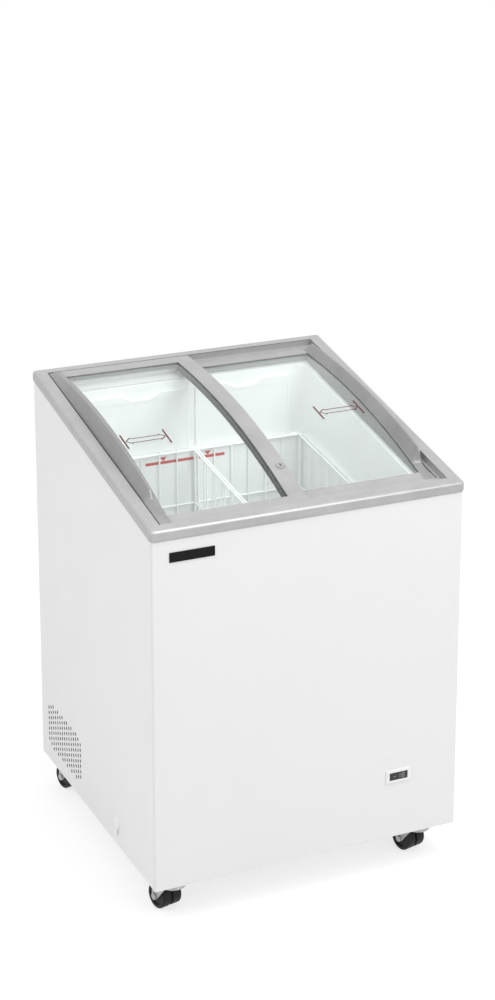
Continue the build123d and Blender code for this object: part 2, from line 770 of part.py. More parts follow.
def machine_partition():
    """The bent sheet that closes the foam off from the machine room."""
    rear = INNER_Y - 2 * SEAT
    edge = INNER_X - SEAT
    upright_sheet = (ROOM_FRONT - PARTITION_T, ROOM_FRONT, BASE_TOP + SEAT, CEILING)
    shelf_sheet = (ROOM_FRONT - PARTITION_T, rear, CEILING, CEILING + PARTITION_T)
    return block(-edge, edge, *upright_sheet) + block(-edge, edge, *shelf_sheet)


# Liner, insulation and evaporator


def shelf_z(y):
    """Top of the liner's basket shelf."""
    rise = tan(radians(SHELF_SLOPE))
    return BASKET_RIM_Z - HOOK_WIRE / 2 - SEAT + (y - basket_rear()) * rise


def cavity(grow):
    """The cold space, grown outward by the liner's wall."""
    top = RIM_MID + FRAME_D / 2
    low_x = LOWER_X + grow
    low_front = LOWER_FRONT - grow
    low_rear = LOWER_REAR + grow
    radius = WELL_R + grow
    upper = (-LINER_X - grow, LINER_X + grow, LINER_FRONT - grow, LINER_REAR + grow)
    pocket = round_block(*upper, HUMP_TOP, top, LINER_R + grow)
    below = [(y, shelf_z(y) - grow) for y in (-BODY_D, BODY_D)]
    wedge = side_solid(below + [(BODY_D, 0), (-BODY_D, 0)], -BODY_W, BODY_W)
    pocket -= wedge
    middle = round_block(-low_x, low_x, low_front, low_rear, HUMP_TOP - grow, top, radius)
    well = round_block(-low_x, low_x, low_front, WELL_REAR + grow, WELL_FLOOR - grow, top, radius)
    return pocket + middle + well


def liner():
    shell = cavity(LINER_T) - cavity(0)
    flange_top = TRACK_BOTTOM + SEAT
    shell &= deck_slab(flange_top, BODY_D)
    reach = LINER_T + LINER_FLANGE
    ring = round_block(
        -LINER_X - reach, LINER_X + reach, LINER_FRONT - reach, LINER_REAR + reach,
        HUMP_TOP, RIM_MID + FRAME_D, LINER_R + reach,
    )
    ring = (ring - cavity(0)) & deck_slab(flange_top, flange_top + LINER_T)
    return shell + ring - drain_bore()


def insulation_foam():
    edge = INNER_X - SEAT
    front = -INNER_Y + SEAT
    rear = INNER_Y - SEAT
    body = side_solid(under_rim(front, rear, BASE_TOP + SEAT, drop(PANEL_TOP)), -edge, edge)
    body &= upright(2 * edge, 2 * rear, CORNER_R)
    body -= block(
        -BODY_W, BODY_W, ROOM_FRONT - PARTITION_T - SEAT, BODY_D, 0, CEILING + PARTITION_T + SEAT
    )
    wide = TRACK_X + SEAT
    rest = TRACK_BOTTOM + LINER_T + 2 * SEAT
    body -= deck_block(-wide, wide, TRACK_FRONT - SEAT, TRACK_REAR + SEAT, -CUT, rest)
    body -= cavity(LINER_T + SEAT / 2)
    body -= coil_recess()
    body -= display_pocket()
    body -= drain_passage()
    for x, y in caster_bolt_places():
        body -= bar((x, y, UNDER), (x, y, BASE_TOP + BOLT_END + 2 * CUT), BOLT_HEAD_R + CUT)
    return body


def coil_recess():
    """Room behind the liner for the evaporator tube."""
    room = cavity(LINER_T + 2 * COIL_R + 2 * COIL_GAP)
    margin = 2 * COIL_R
    high = COIL_LOW + COIL_TURNS * COIL_PITCH + margin
    return room & block(-BODY_W, BODY_W, -BODY_D, BODY_D, COIL_LOW - margin, high)


def evaporator_coil():
    """One tube wound round the liner, climbing a turn along each front run."""
    out = LINER_T + COIL_R + COIL_GAP
    x = LOWER_X + out
    front = LOWER_FRONT - out
    rear = LOWER_REAR + out
    points = [(-x, 0, COIL_LOW)]
    for turn in range(COIL_TURNS):
        z = COIL_LOW + turn * COIL_PITCH
        points += [(-x, rear, z), (x, rear, z), (x, front, z), (-x, front, z + COIL_PITCH)]
    points.append((-x, 0, points[-1][2]))
    path = FilletPolyline(*points, radius=WELL_R + out)
    return sweep(Plane(origin=path @ 0, z_dir=path % 0) * Circle(COIL_R), path)


def notch(top, y0, y1, grow):
    """The finger notch in a liner panel's top edge, grown by the wall round it."""
    middle = (LINER_PANEL_GAP / 2 + LINER_PANEL_X) / 2
    half = NOTCH_W / 2 + grow
    flat = NOTCH_FLAT / 2 + grow / 2
    low = top - NOTCH_D - grow
    corners = [(-half, top), (-flat, low), (flat, low), (half, top), (half, top + grow + CUT)]
    corners.append((-half, top + grow + CUT))
    outline = make_face(Polyline(*[(middle + x, y0, z) for x, z in corners], close=True))
    shape = extrude(outline, y1 - y0, dir=(0, 1, 0))
    return fillet(shape.edges().filter_by(Axis.Y).group_by(Axis.Z)[0], NOTCH_R)


def liner_panel(side):
    """A shallow moulded panel that stands on the shelf, with a finger notch at its top."""
    near = LINER_PANEL_GAP / 2
    far = LINER_PANEL_X
    face = LINER_REAR - SEAT - LINER_PANEL_T
    back = LINER_REAR - SEAT
    top = rim_z(face) - LINER_PANEL_TOP
    low = shelf_z(back) + SEAT
    tray = block(near, far, face, back, low, top)
    tray = fillet(tray.edges().filter_by(Axis.Z).group_by(Axis.Y)[0], LINER_PANEL_T / 2)
    skin = LINER_PANEL_SKIN
    hollow = block(near + skin, far - skin, face + skin, back + CUT, low + skin, top - skin)
    tray -= hollow - notch(top, face, back + CUT, skin)
    band = top - LINER_PANEL_LIP
    step = face + LINER_PANEL_STEP
    tray -= block(near + 3 * skin, far - 3 * skin, face - CUT, step, low - CUT, band)
    tray -= notch(top, face - CUT, back + CUT, 0)
    return tray if side > 0 else mirror(tray, Plane.YZ)


# Baskets


def basket_rear():
    return LOWER_REAR - BASKET_CLEAR - WIRE / 2


def basket_front():
    return LOWER_FRONT + BASKET_FRONT_CLEAR + WIRE / 2


def rim_line(y):
    """Height of a basket's sloping rim wire."""
    return BASKET_RIM_Z + (y - basket_rear()) * tan(radians(SHELF_SLOPE))


def spread(low, high, pitch):
    """Even places from low to high, no further apart than pitch."""
    count = max(1, ceil(abs(high - low) / pitch))
    return [low + (high - low) * n / count for n in range(count + 1)]


def end_mat(y, x0, x1):
    """The wires of a basket's front or rear wall, with two hooks that lie on the shelf."""
    top = rim_line(y)
    mat = bar((x0, y, top), (x1, y, top), RIM_WIRE / 2)
    for z in (BASKET_RING_Z, BASKET_FLOOR_Z):
        mat += bar((x0, y, z), (x1, y, z), WIRE / 2)
    for x in spread(x0, x1, WIRE_PITCH):
        mat += bar((x, y, BASKET_FLOOR_Z), (x, y, top + WIRE_TIP), WIRE / 2)
    outward = HOOK_L if y > 0 else BASKET_CLEAR - BASKET_FRONT_CLEAR - HOOK_L
    for share in (0.2, 0.8):
        x = x0 + (x1 - x0) * share
        mat += bar((x, y, top), (x, y + outward, rim_line(y + outward)), HOOK_WIRE / 2)
    for x in (x0, x1):
        mat += Pos(x, y, top) * Sphere(RIM_WIRE / 2)
    return mat


def side_mat(x, y0, y1):
    """The wires of a basket's side wall, under a rim that slopes to the front."""
    mat = bar((x, y0, rim_line(y0)), (x, y1, rim_line(y1)), RIM_WIRE / 2)
    for z in (BASKET_RING_Z, BASKET_FLOOR_Z):
        mat += bar((x, y0, z), (x, y1, z), WIRE / 2)
    for y in spread(y0 + WIRE, y1 - WIRE, WIRE_PITCH):
        mat += bar((x, y, BASKET_FLOOR_Z), (x, y, rim_line(y)), WIRE / 2)
    return mat


def floor_mat(x0, x1, y0, y1):
    mat = Part()
    for x in spread(x0 + WIRE, x1 - WIRE, WIRE_PITCH):
        mat += bar((x, y0, BASKET_FLOOR_Z), (x, y1, BASKET_FLOOR_Z), WIRE / 2)
    for y in spread(y0 + WIRE, y1 - WIRE, 2 * WIRE_PITCH):
        mat += bar((x0, y, BASKET_FLOOR_Z), (x1, y, BASKET_FLOOR_Z), WIRE / 2)
    return mat


def basket(side):
    """Five welded mats of coated wire."""
    near = BASKET_GAP / 2 + RIM_WIRE / 2
    far = BASKET_X - RIM_WIRE / 2
    x0, x1 = sorted((side * near, side * far))
    front, rear = basket_front(), basket_rear()
    inset = RIM_WIRE / 2 + BASKET_LAP
    mats = [end_mat(front, x0, x1), end_mat(rear, x0, x1)]
    mats += [side_mat(x, front + inset, rear - inset) for x in (x0, x1)]
    inset = WIRE / 2 + BASKET_LAP
    mats.append(floor_mat(x0 + inset, x1 - inset, front + inset, rear - inset))
    return Compound(children=[m.solids()[0] for m in mats])


# Front fittings


def badge():
    z = UNDER + FRONT_H - BADGE_DROP - BADGE[1] / 2
    plate = Box(BADGE[0], BADGE[2], BADGE[1])
    plate = fillet(plate.edges().filter_by(Axis.Y), BADGE_ROUND)
    plate = fillet(plate.faces().sort_by(Axis.Y)[0].edges(), BADGE_EDGE)
    return Pos(BADGE_X, -BODY_D / 2 - BADGE[2] / 2, z) * plate


def front_box(width, height, y0, y1):
    """A box on the display's centre, between two depths."""
    x0, x1 = DISPLAY_X - width / 2, DISPLAY_X + width / 2
    return block(x0, x1, y0, y1, DISPLAY_Z - height / 2, DISPLAY_Z + height / 2)


def display_cut():
    y = -BODY_D / 2
    return front_box(DISPLAY_CUT_W, DISPLAY_CUT_H, y - CUT, y + 2 * SHEET)


def display_pocket():
    y = -BODY_D / 2
    depth = SHEET + BOARD_DEPTH + 2 * CUT
    return front_box(DISPLAY_CUT_W + 2 * CUT, DISPLAY_CUT_H + 2 * CUT, y, y + depth)


def display_bezel():
    y = -BODY_D / 2
    bezel = front_box(BEZEL_W, BEZEL_H, y - BEZEL_T, y)
    bezel = fillet(bezel.edges().filter_by(Axis.Y), BEZEL_ROUND)
    bezel = fillet(bezel.faces().sort_by(Axis.Y)[0].edges(), BEZEL_EDGE)
    bezel += front_box(DISPLAY_CUT_W - 2 * SEAT, DISPLAY_CUT_H - 2 * SEAT, y, y + BEZEL_TUBE)
    seat = y - BEZEL_T + WINDOW_SINK + WINDOW_T
    bezel -= front_box(WINDOW_W, WINDOW_H, y - BEZEL_T - CUT, seat)
    lip = 2 * BEZEL_WALL
    return bezel - front_box(WINDOW_W - lip, WINDOW_H - lip, y - BEZEL_T, y + BEZEL_TUBE + CUT)


def display_window():
    y = -BODY_D / 2 - BEZEL_T + WINDOW_SINK
    return front_box(WINDOW_W - 2 * RUN, WINDOW_H - 2 * RUN, y, y + WINDOW_T)


def display_board():
    """A board with the parts soldered behind it and the display's block before it."""
    y = -BODY_D / 2 + BEZEL_TUBE + SEAT
    w, h = DISPLAY_CUT_W - CUT, DISPLAY_CUT_H - CUT
    block_w, block_h = WINDOW_W - 2 * BEZEL_WALL - CUT, WINDOW_H - 2 * BEZEL_WALL - CUT
    board = front_box(w, h, y, y + BOARD_T)
    board += front_box(block_w, block_h, y + BOARD_T, y + BOARD_DEPTH - BEZEL_TUBE)
    return board + front_box(block_w, block_h, y - BEZEL_TUBE + CUT, y)


# Drain


def drain_bore():
    x = -DRAIN_IN_X
    return bar((x, DRAIN_Y, DRAIN_Z), (x, DRAIN_Y, WELL_FLOOR + CUT), DRAIN_TUBE_R + SEAT)


def drain_passage():
    grown = DRAIN_TUBE_R + SEAT
    x = -DRAIN_IN_X
    across = bar((-BODY_W, DRAIN_Y, DRAIN_Z), (x, DRAIN_Y, DRAIN_Z), grown)
    up = bar((x, DRAIN_Y, DRAIN_Z), (x, DRAIN_Y, WELL_FLOOR), grown)
    return across + up + Pos(x, DRAIN_Y, DRAIN_Z) * Sphere(grown)


def drain_pipe():
    side = -BODY_W / 2
    x = -DRAIN_IN_X
    z_top = WELL_FLOOR
    pipe = bar((side - DRAIN_FLANGE_T, DRAIN_Y, DRAIN_Z), (x, DRAIN_Y, DRAIN_Z), DRAIN_TUBE_R)
    pipe += bar((x, DRAIN_Y, DRAIN_Z), (x, DRAIN_Y, z_top), DRAIN_TUBE_R)
    pipe += Pos(x, DRAIN_Y, DRAIN_Z) * Sphere(DRAIN_TUBE_R)
    pipe += bar((side - DRAIN_FLANGE_T, DRAIN_Y, DRAIN_Z), (side, DRAIN_Y, DRAIN_Z), DRAIN_FLANGE_R)
    bore = bar((side - 2 * CUT, DRAIN_Y, DRAIN_Z), (x, DRAIN_Y, DRAIN_Z), DRAIN_BORE_R)
    bore += bar((x, DRAIN_Y, DRAIN_Z), (x, DRAIN_Y, z_top + CUT), DRAIN_BORE_R)
    bore += Pos(x, DRAIN_Y, DRAIN_Z) * Sphere(DRAIN_BORE_R)
    return pipe - bore


def drain_cap():
    """A push-in cap with a pull tongue below it."""
    face = -BODY_W / 2 - DRAIN_FLANGE_T
    cap = bar((face - CAP_T, DRAIN_Y, DRAIN_Z), (face, DRAIN_Y, DRAIN_Z), CAP_R)
    tip = DRAIN_Z - CAP_R - TONGUE_L
    cap += block(face - CAP_T, face, DRAIN_Y - TONGUE_R, DRAIN_Y + TONGUE_R, tip, DRAIN_Z)
    cap += bar((face - CAP_T, DRAIN_Y, tip), (face, DRAIN_Y, tip), TONGUE_R)
    stem = bar((face, DRAIN_Y, DRAIN_Z), (face + CAP_STEM, DRAIN_Y, DRAIN_Z), DRAIN_BORE_R - RUN)
    return cap + stem


# Machine room


def compressor():
    """A welded can on its foot plate, with the two ports on its left."""
    low = COMP_LOW
    can = Pos(COMP_X, COMP_Y, low + COMP_LIFT + COMP_H / 2) * Cylinder(COMP_R, COMP_H)
    can = fillet(can.edges().filter_by(GeomType.CIRCLE), COMP_ROUND)
    seam = Pos(COMP_X, COMP_Y, low + COMP_H * SEAM_SHARE) * Cylinder(COMP_R + SEAM_PROUD, SEAM_H)
    length, width, thick = COMP_FOOT
    foot = round_block(-length / 2, length / 2, -width / 2, width / 2, low, low + thick, COMP_FOOT_R)
    body = can + seam + Pos(COMP_X, COMP_Y, 0) * foot
    for share in (OUT_SHARE, IN_SHARE):
        z = low + COMP_H * share
        body += bar((port_x() + SEAT, COMP_Y, z), (COMP_X, COMP_Y, z), PIPE_R + CUT)
    return body


def port_x():
    """Where the pipes end, just off the compressor's ports."""
    return COMP_X - COMP_R - PORT_L - SEAT


def grommet_places():
    dx = COMP_FOOT[0] / 2 - GROMMET_INSET
    dy = COMP_FOOT[1] / 2 - GROMMET_INSET
    return [(COMP_X + i * dx, COMP_Y + j * dy) for i in (-1, 1) for j in (-1, 1)]


def compressor_grommets():
    group = Part()
    for x, y in grommet_places():
        body = Cylinder(GROMMET_R, GROMMET_H - SEAT)
        groove = Cylinder(GROMMET_R + CUT, GROMMET_WAIST)
        groove -= Cylinder(GROMMET_R - GROMMET_WAIST, GROMMET_WAIST)
        group += Pos(x, y, BASE_TOP + SEAT + (GROMMET_H - SEAT) / 2) * (body - groove)
    return group


def terminal_cover():
    depth, width, height = TERMINAL
    x = COMP_X + COMP_R + SEAT + depth / 2
    cover = Pos(x, COMP_Y, COMP_LOW + COMP_H * IN_SHARE) * Box(depth, width, height)
    return fillet(cover.faces().sort_by(Axis.X)[-1].edges(), TERMINAL_ROUND)


def condenser():
    """Thin fins on a bank of tubes."""
    y0, y1 = VENT_Y - COND_LEN / 2, VENT_Y + COND_LEN / 2
    low = COND_Z - COND_H / 2
    x0, x1 = COND_X - COND_T / 2, COND_X + COND_T / 2
    fins = Part()
    for y in [y0 + (y1 - y0) * n / (FIN_COUNT - 1) for n in range(FIN_COUNT)]:
        fins += block(x0, x1, y - FIN_T / 2, y + FIN_T / 2, low, low + COND_H)
    for x in (COND_X - COND_COLUMN, COND_X + COND_COLUMN):
        for row in range(COND_ROWS):
            z = cond_row_z(row)
            fins += bar((x, y0 - COND_END, z), (x, y1 + COND_END, z), COND_TUBE_R)
    for y in (y0, y1):
        fins += block(x0, x1, y - END_PLATE_T / 2, y + END_PLATE_T / 2, BASE_TOP + SEAT, low + COND_H)
    return fins


def cond_row_z(row):
    return COND_Z + COND_H * ((row + 0.5) / COND_ROWS - 0.5)


def fan_shroud():
    """A plate with a round mouth, standing on the base, with two arms that hold the motor."""
    x0, x1 = FAN_X - SHROUD_T / 2, FAN_X + SHROUD_T / 2
    half = SHROUD_SIZE / 2
    plate = block(x0, x1, VENT_Y - half, VENT_Y + half, COND_Z - half, COND_Z + half)
    plate = fillet(plate.edges().filter_by(Axis.X), SHROUD_T)
    plate -= bar((x0 - CUT, VENT_Y, COND_Z), (x1 + CUT, VENT_Y, COND_Z), SHROUD_R)
    foot = SHROUD_SIZE / 3
    plate += block(x0, x1, VENT_Y - foot, VENT_Y + foot, BASE_TOP + SEAT, COND_Z - half + CUT)
    arm_x = motor_front() + ARM_INSET
    for side in (-1, 1):
        y = VENT_Y + side * (half - SHROUD_T)
        elbow = (arm_x, y, COND_Z)
        plate += bar((x1 - CUT, y, COND_Z), elbow, ARM_R)
        plate += Pos(*elbow) * Sphere(ARM_R)
        plate += bar(elbow, (arm_x, VENT_Y + side * (MOTOR_R + SEAT), COND_Z), ARM_R)
    return plate


def motor_front():
    return FAN_X + SHROUD_T / 2 + MOTOR_GAP


def fan_motor():
    front = motor_front()
    body = bar((front, VENT_Y, COND_Z), (front + MOTOR_L, VENT_Y, COND_Z), MOTOR_R)
    body = fillet(body.edges().filter_by(GeomType.CIRCLE), MOTOR_ROUND)
    return body + bar((FAN_X - SHAFT_R, VENT_Y, COND_Z), (front + CUT, VENT_Y, COND_Z), SHAFT_R)


def fan_blade():
    """A hub on the motor shaft with twisted blades."""
    hub = bar((FAN_X - HUB_FRONT, VENT_Y, COND_Z), (FAN_X + HUB_REAR, VENT_Y, COND_Z), HUB_R)
    root = HUB_R - BLADE_ROOT
    blade = Box(BLADE_W, BLADE_T, FAN_R - root)
    blade = Pos(0, 0, (FAN_R + root) / 2) * Rot(0, 0, BLADE_PITCH) * blade
    middle = Pos(FAN_X + (HUB_REAR - HUB_FRONT) / 2, VENT_Y, COND_Z)
    for n in range(FAN_BLADES):
        hub += middle * Rot(n * 360 / FAN_BLADES, 0, 0) * blade
    bore = bar((FAN_X - SHAFT_R, VENT_Y, COND_Z), (motor_front(), VENT_Y, COND_Z), SHAFT_R + RUN)
    return hub - bore


def filter_drier():
    x, y, z = DRIER_PLACE
    body = Pos(x, y, z) * Rot(0, 90, 0) * Cylinder(DRIER_R, DRIER_L)
    return chamfer(body.edges().filter_by(GeomType.CIRCLE), DRIER_END)


def tube_run(points):
    path = FilletPolyline(*points, radius=PIPE_BEND)
    return sweep(Plane(origin=path @ 0, z_dir=path % 0) * Circle(PIPE_R), path)


def refrigerant_pipes():
    """Discharge pipe, liquid pipe by way of the drier, and suction pipe."""
    start = port_x()
    bend = start - PIPE_REACH
    out_z = COMP_LOW + COMP_H * OUT_SHARE
    high = out_z + PIPE_RISE
    in_z = COMP_LOW + COMP_H * IN_SHARE
    rear_y = VENT_Y + COND_LEN / 2 + COND_END + PIPE_R + SEAT
    tube_z = cond_row_z(COND_ROWS - 1)
    cond_x = COND_X + COND_COLUMN
    front_y = VENT_Y - COND_LEN / 2 - COND_END - PIPE_R - SEAT
    dx, dy, dz = DRIER_PLACE
    discharge = tube_run(
        [
            (start, COMP_Y, out_z),
            (bend, COMP_Y, out_z),
            (bend, rear_y, high),
            (cond_x, rear_y, high),
            (cond_x, rear_y, tube_z),
        ]
    )
    liquid = tube_run(
        [
            (cond_x, front_y, tube_z),
            (cond_x, front_y, dz),
            (cond_x + PIPE_RISE, dy, dz),
            (dx - DRIER_L / 2 - SEAT, dy, dz),
        ]
    )
    suction = tube_run(
        [
            (start, COMP_Y, in_z),
            (bend, COMP_Y, in_z),
            (bend, ROOM_FRONT + PIPE_REACH, in_z + PIPE_REACH),
            (bend, ROOM_FRONT + SEAT, in_z + PIPE_REACH),
        ]
    )
    capillary = tube_run(
        [
            (dx + DRIER_L / 2 + SEAT, dy, dz),
            (dx + DRIER_L / 2 + PIPE_REACH, dy, dz),
            (dx + DRIER_L / 2 + PIPE_REACH, ROOM_FRONT + SEAT, dz),
        ]
    )
    return Compound(children=[p.solids()[0] for p in (discharge, liquid, suction, capillary)])


def dial_bar(y0, y1, radius):
    """A round bar on the dial's axis."""
    return bar((DIAL_X, y0, DIAL_Z), (DIAL_X, y1, DIAL_Z), radius)


def thermostat_body():
    """The switch box, held to the inside of the rear cover by two bent ears."""
    w, d, h = THERMOSTAT
    seat = BODY_D / 2 - COVER_T - SEAT
    rear = dial_back()
    body = block(DIAL_X - w / 2, DIAL_X + w / 2, rear - d, rear, DIAL_Z - h / 2, DIAL_Z + h / 2)
    body = fillet(body.edges().filter_by(Axis.Y), THERMOSTAT_ROUND)
    for side in (-1, 1):
        x0, x1 = sorted((side * (w / 2 - CUT), side * (w / 2 + EAR_T)))
        x0, x1, low, high = DIAL_X + x0, DIAL_X + x1, DIAL_Z - EAR_W / 2, DIAL_Z + EAR_W / 2
        body += block(x0, x1, rear - d / 2, seat, low, high)
        toe0, toe1 = sorted((side * w / 2, side * (w / 2 + EAR_L)))
        body += block(DIAL_X + toe0, DIAL_X + toe1, seat - EAR_T, seat, low, high)
    return body + dial_bar(rear - CUT, rear + DIAL_L - DIAL_SKIN, DIAL_SHAFT_R)


def dial_back():
    """Where the dial's inner face stands, so that its outer face is level with the cover."""
    return BODY_D / 2 - DIAL_L - SEAT


def thermostat_knob():
    start = dial_back() + SEAT
    end = start + DIAL_L
    knob = dial_bar(start, end, DIAL_R)
    knob = fillet(knob.edges().group_by(Axis.Y)[-1], DIAL_EDGE)
    for n in range(KNURLS):
        turn = n * 2 * pi / KNURLS
        x, z = DIAL_X + DIAL_R * sin(turn), DIAL_Z + DIAL_R * cos(turn)
        knob -= bar((x, start - CUT, z), (x, end + CUT, z), KNURL_R)
    mark = (DIAL_X - KNURL_R, DIAL_X + KNURL_R, end - KNURL_R, end + CUT)
    knob -= block(*mark, DIAL_Z + DIAL_R / 3, DIAL_Z + DIAL_R * 0.8)
    return knob - dial_bar(start - CUT, end - DIAL_SKIN, DIAL_SHAFT_R + RUN)


def cord_gland():
    y = BODY_D / 2
    outer = y + GLAND_FLANGE
    inner = y - COVER_T - GLAND_L
    ring = bar((GLAND_X, y, GLAND_Z), (GLAND_X, outer, GLAND_Z), GLAND_R + GLAND_FLANGE_W)
    ring = fillet(ring.edges().group_by(Axis.Y)[-1], GLAND_EDGE)
    ring += bar((GLAND_X, inner, GLAND_Z), (GLAND_X, y, GLAND_Z), GLAND_R - SEAT)
    return ring - bar((GLAND_X, inner - CUT, GLAND_Z), (GLAND_X, outer + CUT, GLAND_Z), GLAND_BORE_R)


# Casters


def caster_places():
    """Name, swivel x and swivel y of each caster."""
    fronts = [("front_left", -CASTER_X, CASTER_FRONT_Y), ("front_right", CASTER_X, CASTER_FRONT_Y)]
    rears = [("rear_left", -CASTER_X, CASTER_REAR_Y), ("rear_right", CASTER_X, CASTER_REAR_Y)]
    return fronts + rears


def caster_bolt_places():
    reach = PLATE_SIZE / 2 - BOLT_INSET
    corners = [(i * reach, j * reach) for i in (-1, 1) for j in (-1, 1)]
    return [(x + dx, y + dy) for _, x, y in caster_places() for dx, dy in corners]


def swivelled(x, y, shape):
    return Pos(x, y, 0) * Rot(0, 0, CASTER_TURN) * shape


def race_top():
    return UNDER - SEAT - PLATE_T


def crown_top():
    return race_top() - RACE_T - RACE_GAP


def caster_plates():
    group = Part()
    top = UNDER - SEAT
    for _, x, y in caster_places():
        half = PLATE_SIZE / 2
        plate = round_block(-half, half, -half, half, top - PLATE_T, top, PLATE_ROUND)
        race = Pos(0, 0, race_top() - RACE_T / 2) * Cylinder(RACE_R, RACE_T)
        race = fillet(race.edges().group_by(Axis.Z)[0], RACE_EDGE)
        kingpin_low = crown_top() - CROWN_T - KINGPIN_END
        kingpin = bar((0, 0, kingpin_low), (0, 0, race_top()), BOLT_R)
        plate = plate + race + kingpin
        reach = PLATE_SIZE / 2 - BOLT_INSET
        for dx, dy in [(i * reach, j * reach) for i in (-1, 1) for j in (-1, 1)]:
            plate -= bar((dx, dy, top - PLATE_T - CUT), (dx, dy, top + CUT), BOLT_R + SEAT)
        group += Pos(x, y, 0) * plate
    return group


def caster_bolts():
    group = Part()
    low = UNDER - SEAT - PLATE_T
    length = PLATE_T + SEAT + BASE_SHEET + BOLT_END
    for x, y in caster_bolt_places():
        head = Pos(0, 0, -BOLT_HEAD_T / 2) * Cylinder(BOLT_HEAD_R, BOLT_HEAD_T)
        head = fillet(head.edges().group_by(Axis.Z)[0], BOLT_EDGE)
        group += Pos(x, y, low) * (head + Pos(0, 0, length / 2) * Cylinder(BOLT_R, length))
    return group


def caster_fork():
    """A pressed crown with two tapering legs, drawn with its trail along +Y."""
    top = crown_top()
    low = top - CROWN_T
    crown = Pos(0, 0, top - CROWN_T / 2) * Cylinder(RACE_R + CROWN_W, CROWN_T)
    half = TREAD_W + TREAD_GAP / 2 + FORK_GAP
    crown += block(-half - FORK_T, half + FORK_T, 0, TRAIL * 0.8, low, low + BRIDGE_T)
    crown = fillet(crown.edges().group_by(Axis.Z)[-1], CROWN_EDGE)
    crown -= Pos(0, 0, top) * Cylinder(BOLT_R + RUN, 4 * CROWN_T)
    legs = Part()
    tip = FORK_TIP
    outline = make_face(
        Polyline(
            (0, -RACE_R * 0.5, top - CROWN_T / 2),
            (0, TRAIL + tip * 0.9, top - CROWN_T / 2),
            (0, TRAIL + tip, WHEEL_R),
            (0, TRAIL, WHEEL_R - tip),
            (0, TRAIL - tip, WHEEL_R - 2),
            close=True,
        )
    )
    leg = extrude(outline, FORK_T, dir=(1, 0, 0))
    leg = fillet(leg.edges().filter_by(Axis.X).sort_by(Axis.Z)[:3], FORK_ROUND)
    for x in (half, -half - FORK_T):
        legs += Pos(x, 0, 0) * leg
    fork = crown + legs
    return fork - axle_bore(AXLE_R + SEAT / 2)


def axle_bore(radius):
    return bar((-2 * WHEEL_R, TRAIL, WHEEL_R), (2 * WHEEL_R, TRAIL, WHEEL_R), radius)


def caster_axle():
    half = TREAD_W + TREAD_GAP / 2 + FORK_GAP + FORK_T
    axle = bar((-half, TRAIL, WHEEL_R), (half, TRAIL, WHEEL_R), AXLE_R)
    for side in (-1, 1):
        head = bar(
            (side * half, TRAIL, WHEEL_R), (side * (half + AXLE_HEAD_T), TRAIL, WHEEL_R), AXLE_HEAD_R
        )
        rim = head.edges().filter_by(GeomType.CIRCLE).sort_by(Axis.X)
        axle += fillet(rim[-1] if side > 0 else rim[0], AXLE_EDGE)
    return axle


def caster_wheel():
    """Two treads on a common hub, with a gap between them."""
    wheel = bar((-TREAD_GAP, TRAIL, WHEEL_R), (TREAD_GAP, TRAIL, WHEEL_R), WHEEL_CORE_R)
    for side in (-1, 1):
        start = side * TREAD_GAP / 2
        tread = bar((start, TRAIL, WHEEL_R), (start + side * TREAD_W, TRAIL, WHEEL_R), WHEEL_R)
        tread = fillet(tread.edges().filter_by(GeomType.CIRCLE), TREAD_ROUND)
        end = start + side * TREAD_W
        inner = end - side * DISH_T
        dish = bar((inner, TRAIL, WHEEL_R), (end + side, TRAIL, WHEEL_R), WHEEL_R * DISH_SHARE)
        boss = bar((inner, TRAIL, WHEEL_R), (end, TRAIL, WHEEL_R), AXLE_HEAD_R + CUT)
        wheel += tread - dish + boss
    return wheel - axle_bore(AXLE_R + RUN)


def main():
    nodes = {
        "base_pan": base_pan(),
        "front_panel": front_panel(),
        "left_side_panel": side_panel(-1),
        "right_side_panel": side_panel(1),
        "rear_panel": rear_panel(),
        "rear_cover": rear_cover(),
        "cover_screws": cover_screws(),
        "machine_partition": machine_partition(),
        "insulation_foam": insulation_foam(),
        "liner": liner(),
        "evaporator_coil": evaporator_coil(),
        "liner_panel_left": liner_panel(-1),
        "liner_panel_right": liner_panel(1),
        "top_frame": top_frame(),
        "lower_track": lower_track(),
        "badge_plate": badge(),
        "display_bezel": display_bezel(),
        "display_window": display_window(),
        "display_board": display_board(),
        "drain_pipe": drain_pipe(),
        "drain_cap": drain_cap(),
        "compressor": compressor(),
        "compressor_grommets": compressor_grommets(),
        "terminal_cover": terminal_cover(),
        "condenser": condenser(),
        "fan_shroud": fan_shroud(),
        "fan_motor": fan_motor(),
        "fan_blade": fan_blade(),
        "filter_drier": filter_drier(),
        "refrigerant_pipes": refrigerant_pipes(),
        "thermostat_body": thermostat_body(),
        "thermostat_knob": thermostat_knob(),
        "cord_gland": cord_gland(),
        "caster_plates": caster_plates(),
        "caster_bolts": caster_bolts(),
        "basket_left": basket(-1),
        "basket_right": basket(1),
        "lock_body": lock_body(UPPER_LID),
        "lock_core": lock_core(UPPER_LID),
        "centre_seal": centre_seal(UPPER_LID),
    }
    for name, lid in (("left", UPPER_LID), ("right", LOWER_LID)):
        nodes[f"lid_{name}_frame"] = lid_frame(lid)
        nodes[f"lid_{name}_handle"] = lid_handle(lid)
        nodes[f"lid_{name}_glass"] = place_lid(lid, glass_body(lid))
        nodes[f"lid_{name}_glides"] = lid_glides(lid)
    for name, x, y in caster_places():
        nodes[f"caster_{name}_fork"] = swivelled(x, y, caster_fork())
        nodes[f"caster_{name}_axle"] = swivelled(x, y, caster_axle())
        nodes[f"caster_{name}_wheel"] = swivelled(x, y, caster_wheel())
    for name, shape in nodes.items():
        export_step(shape, f"parts/{name}.step")


main()
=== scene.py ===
import math

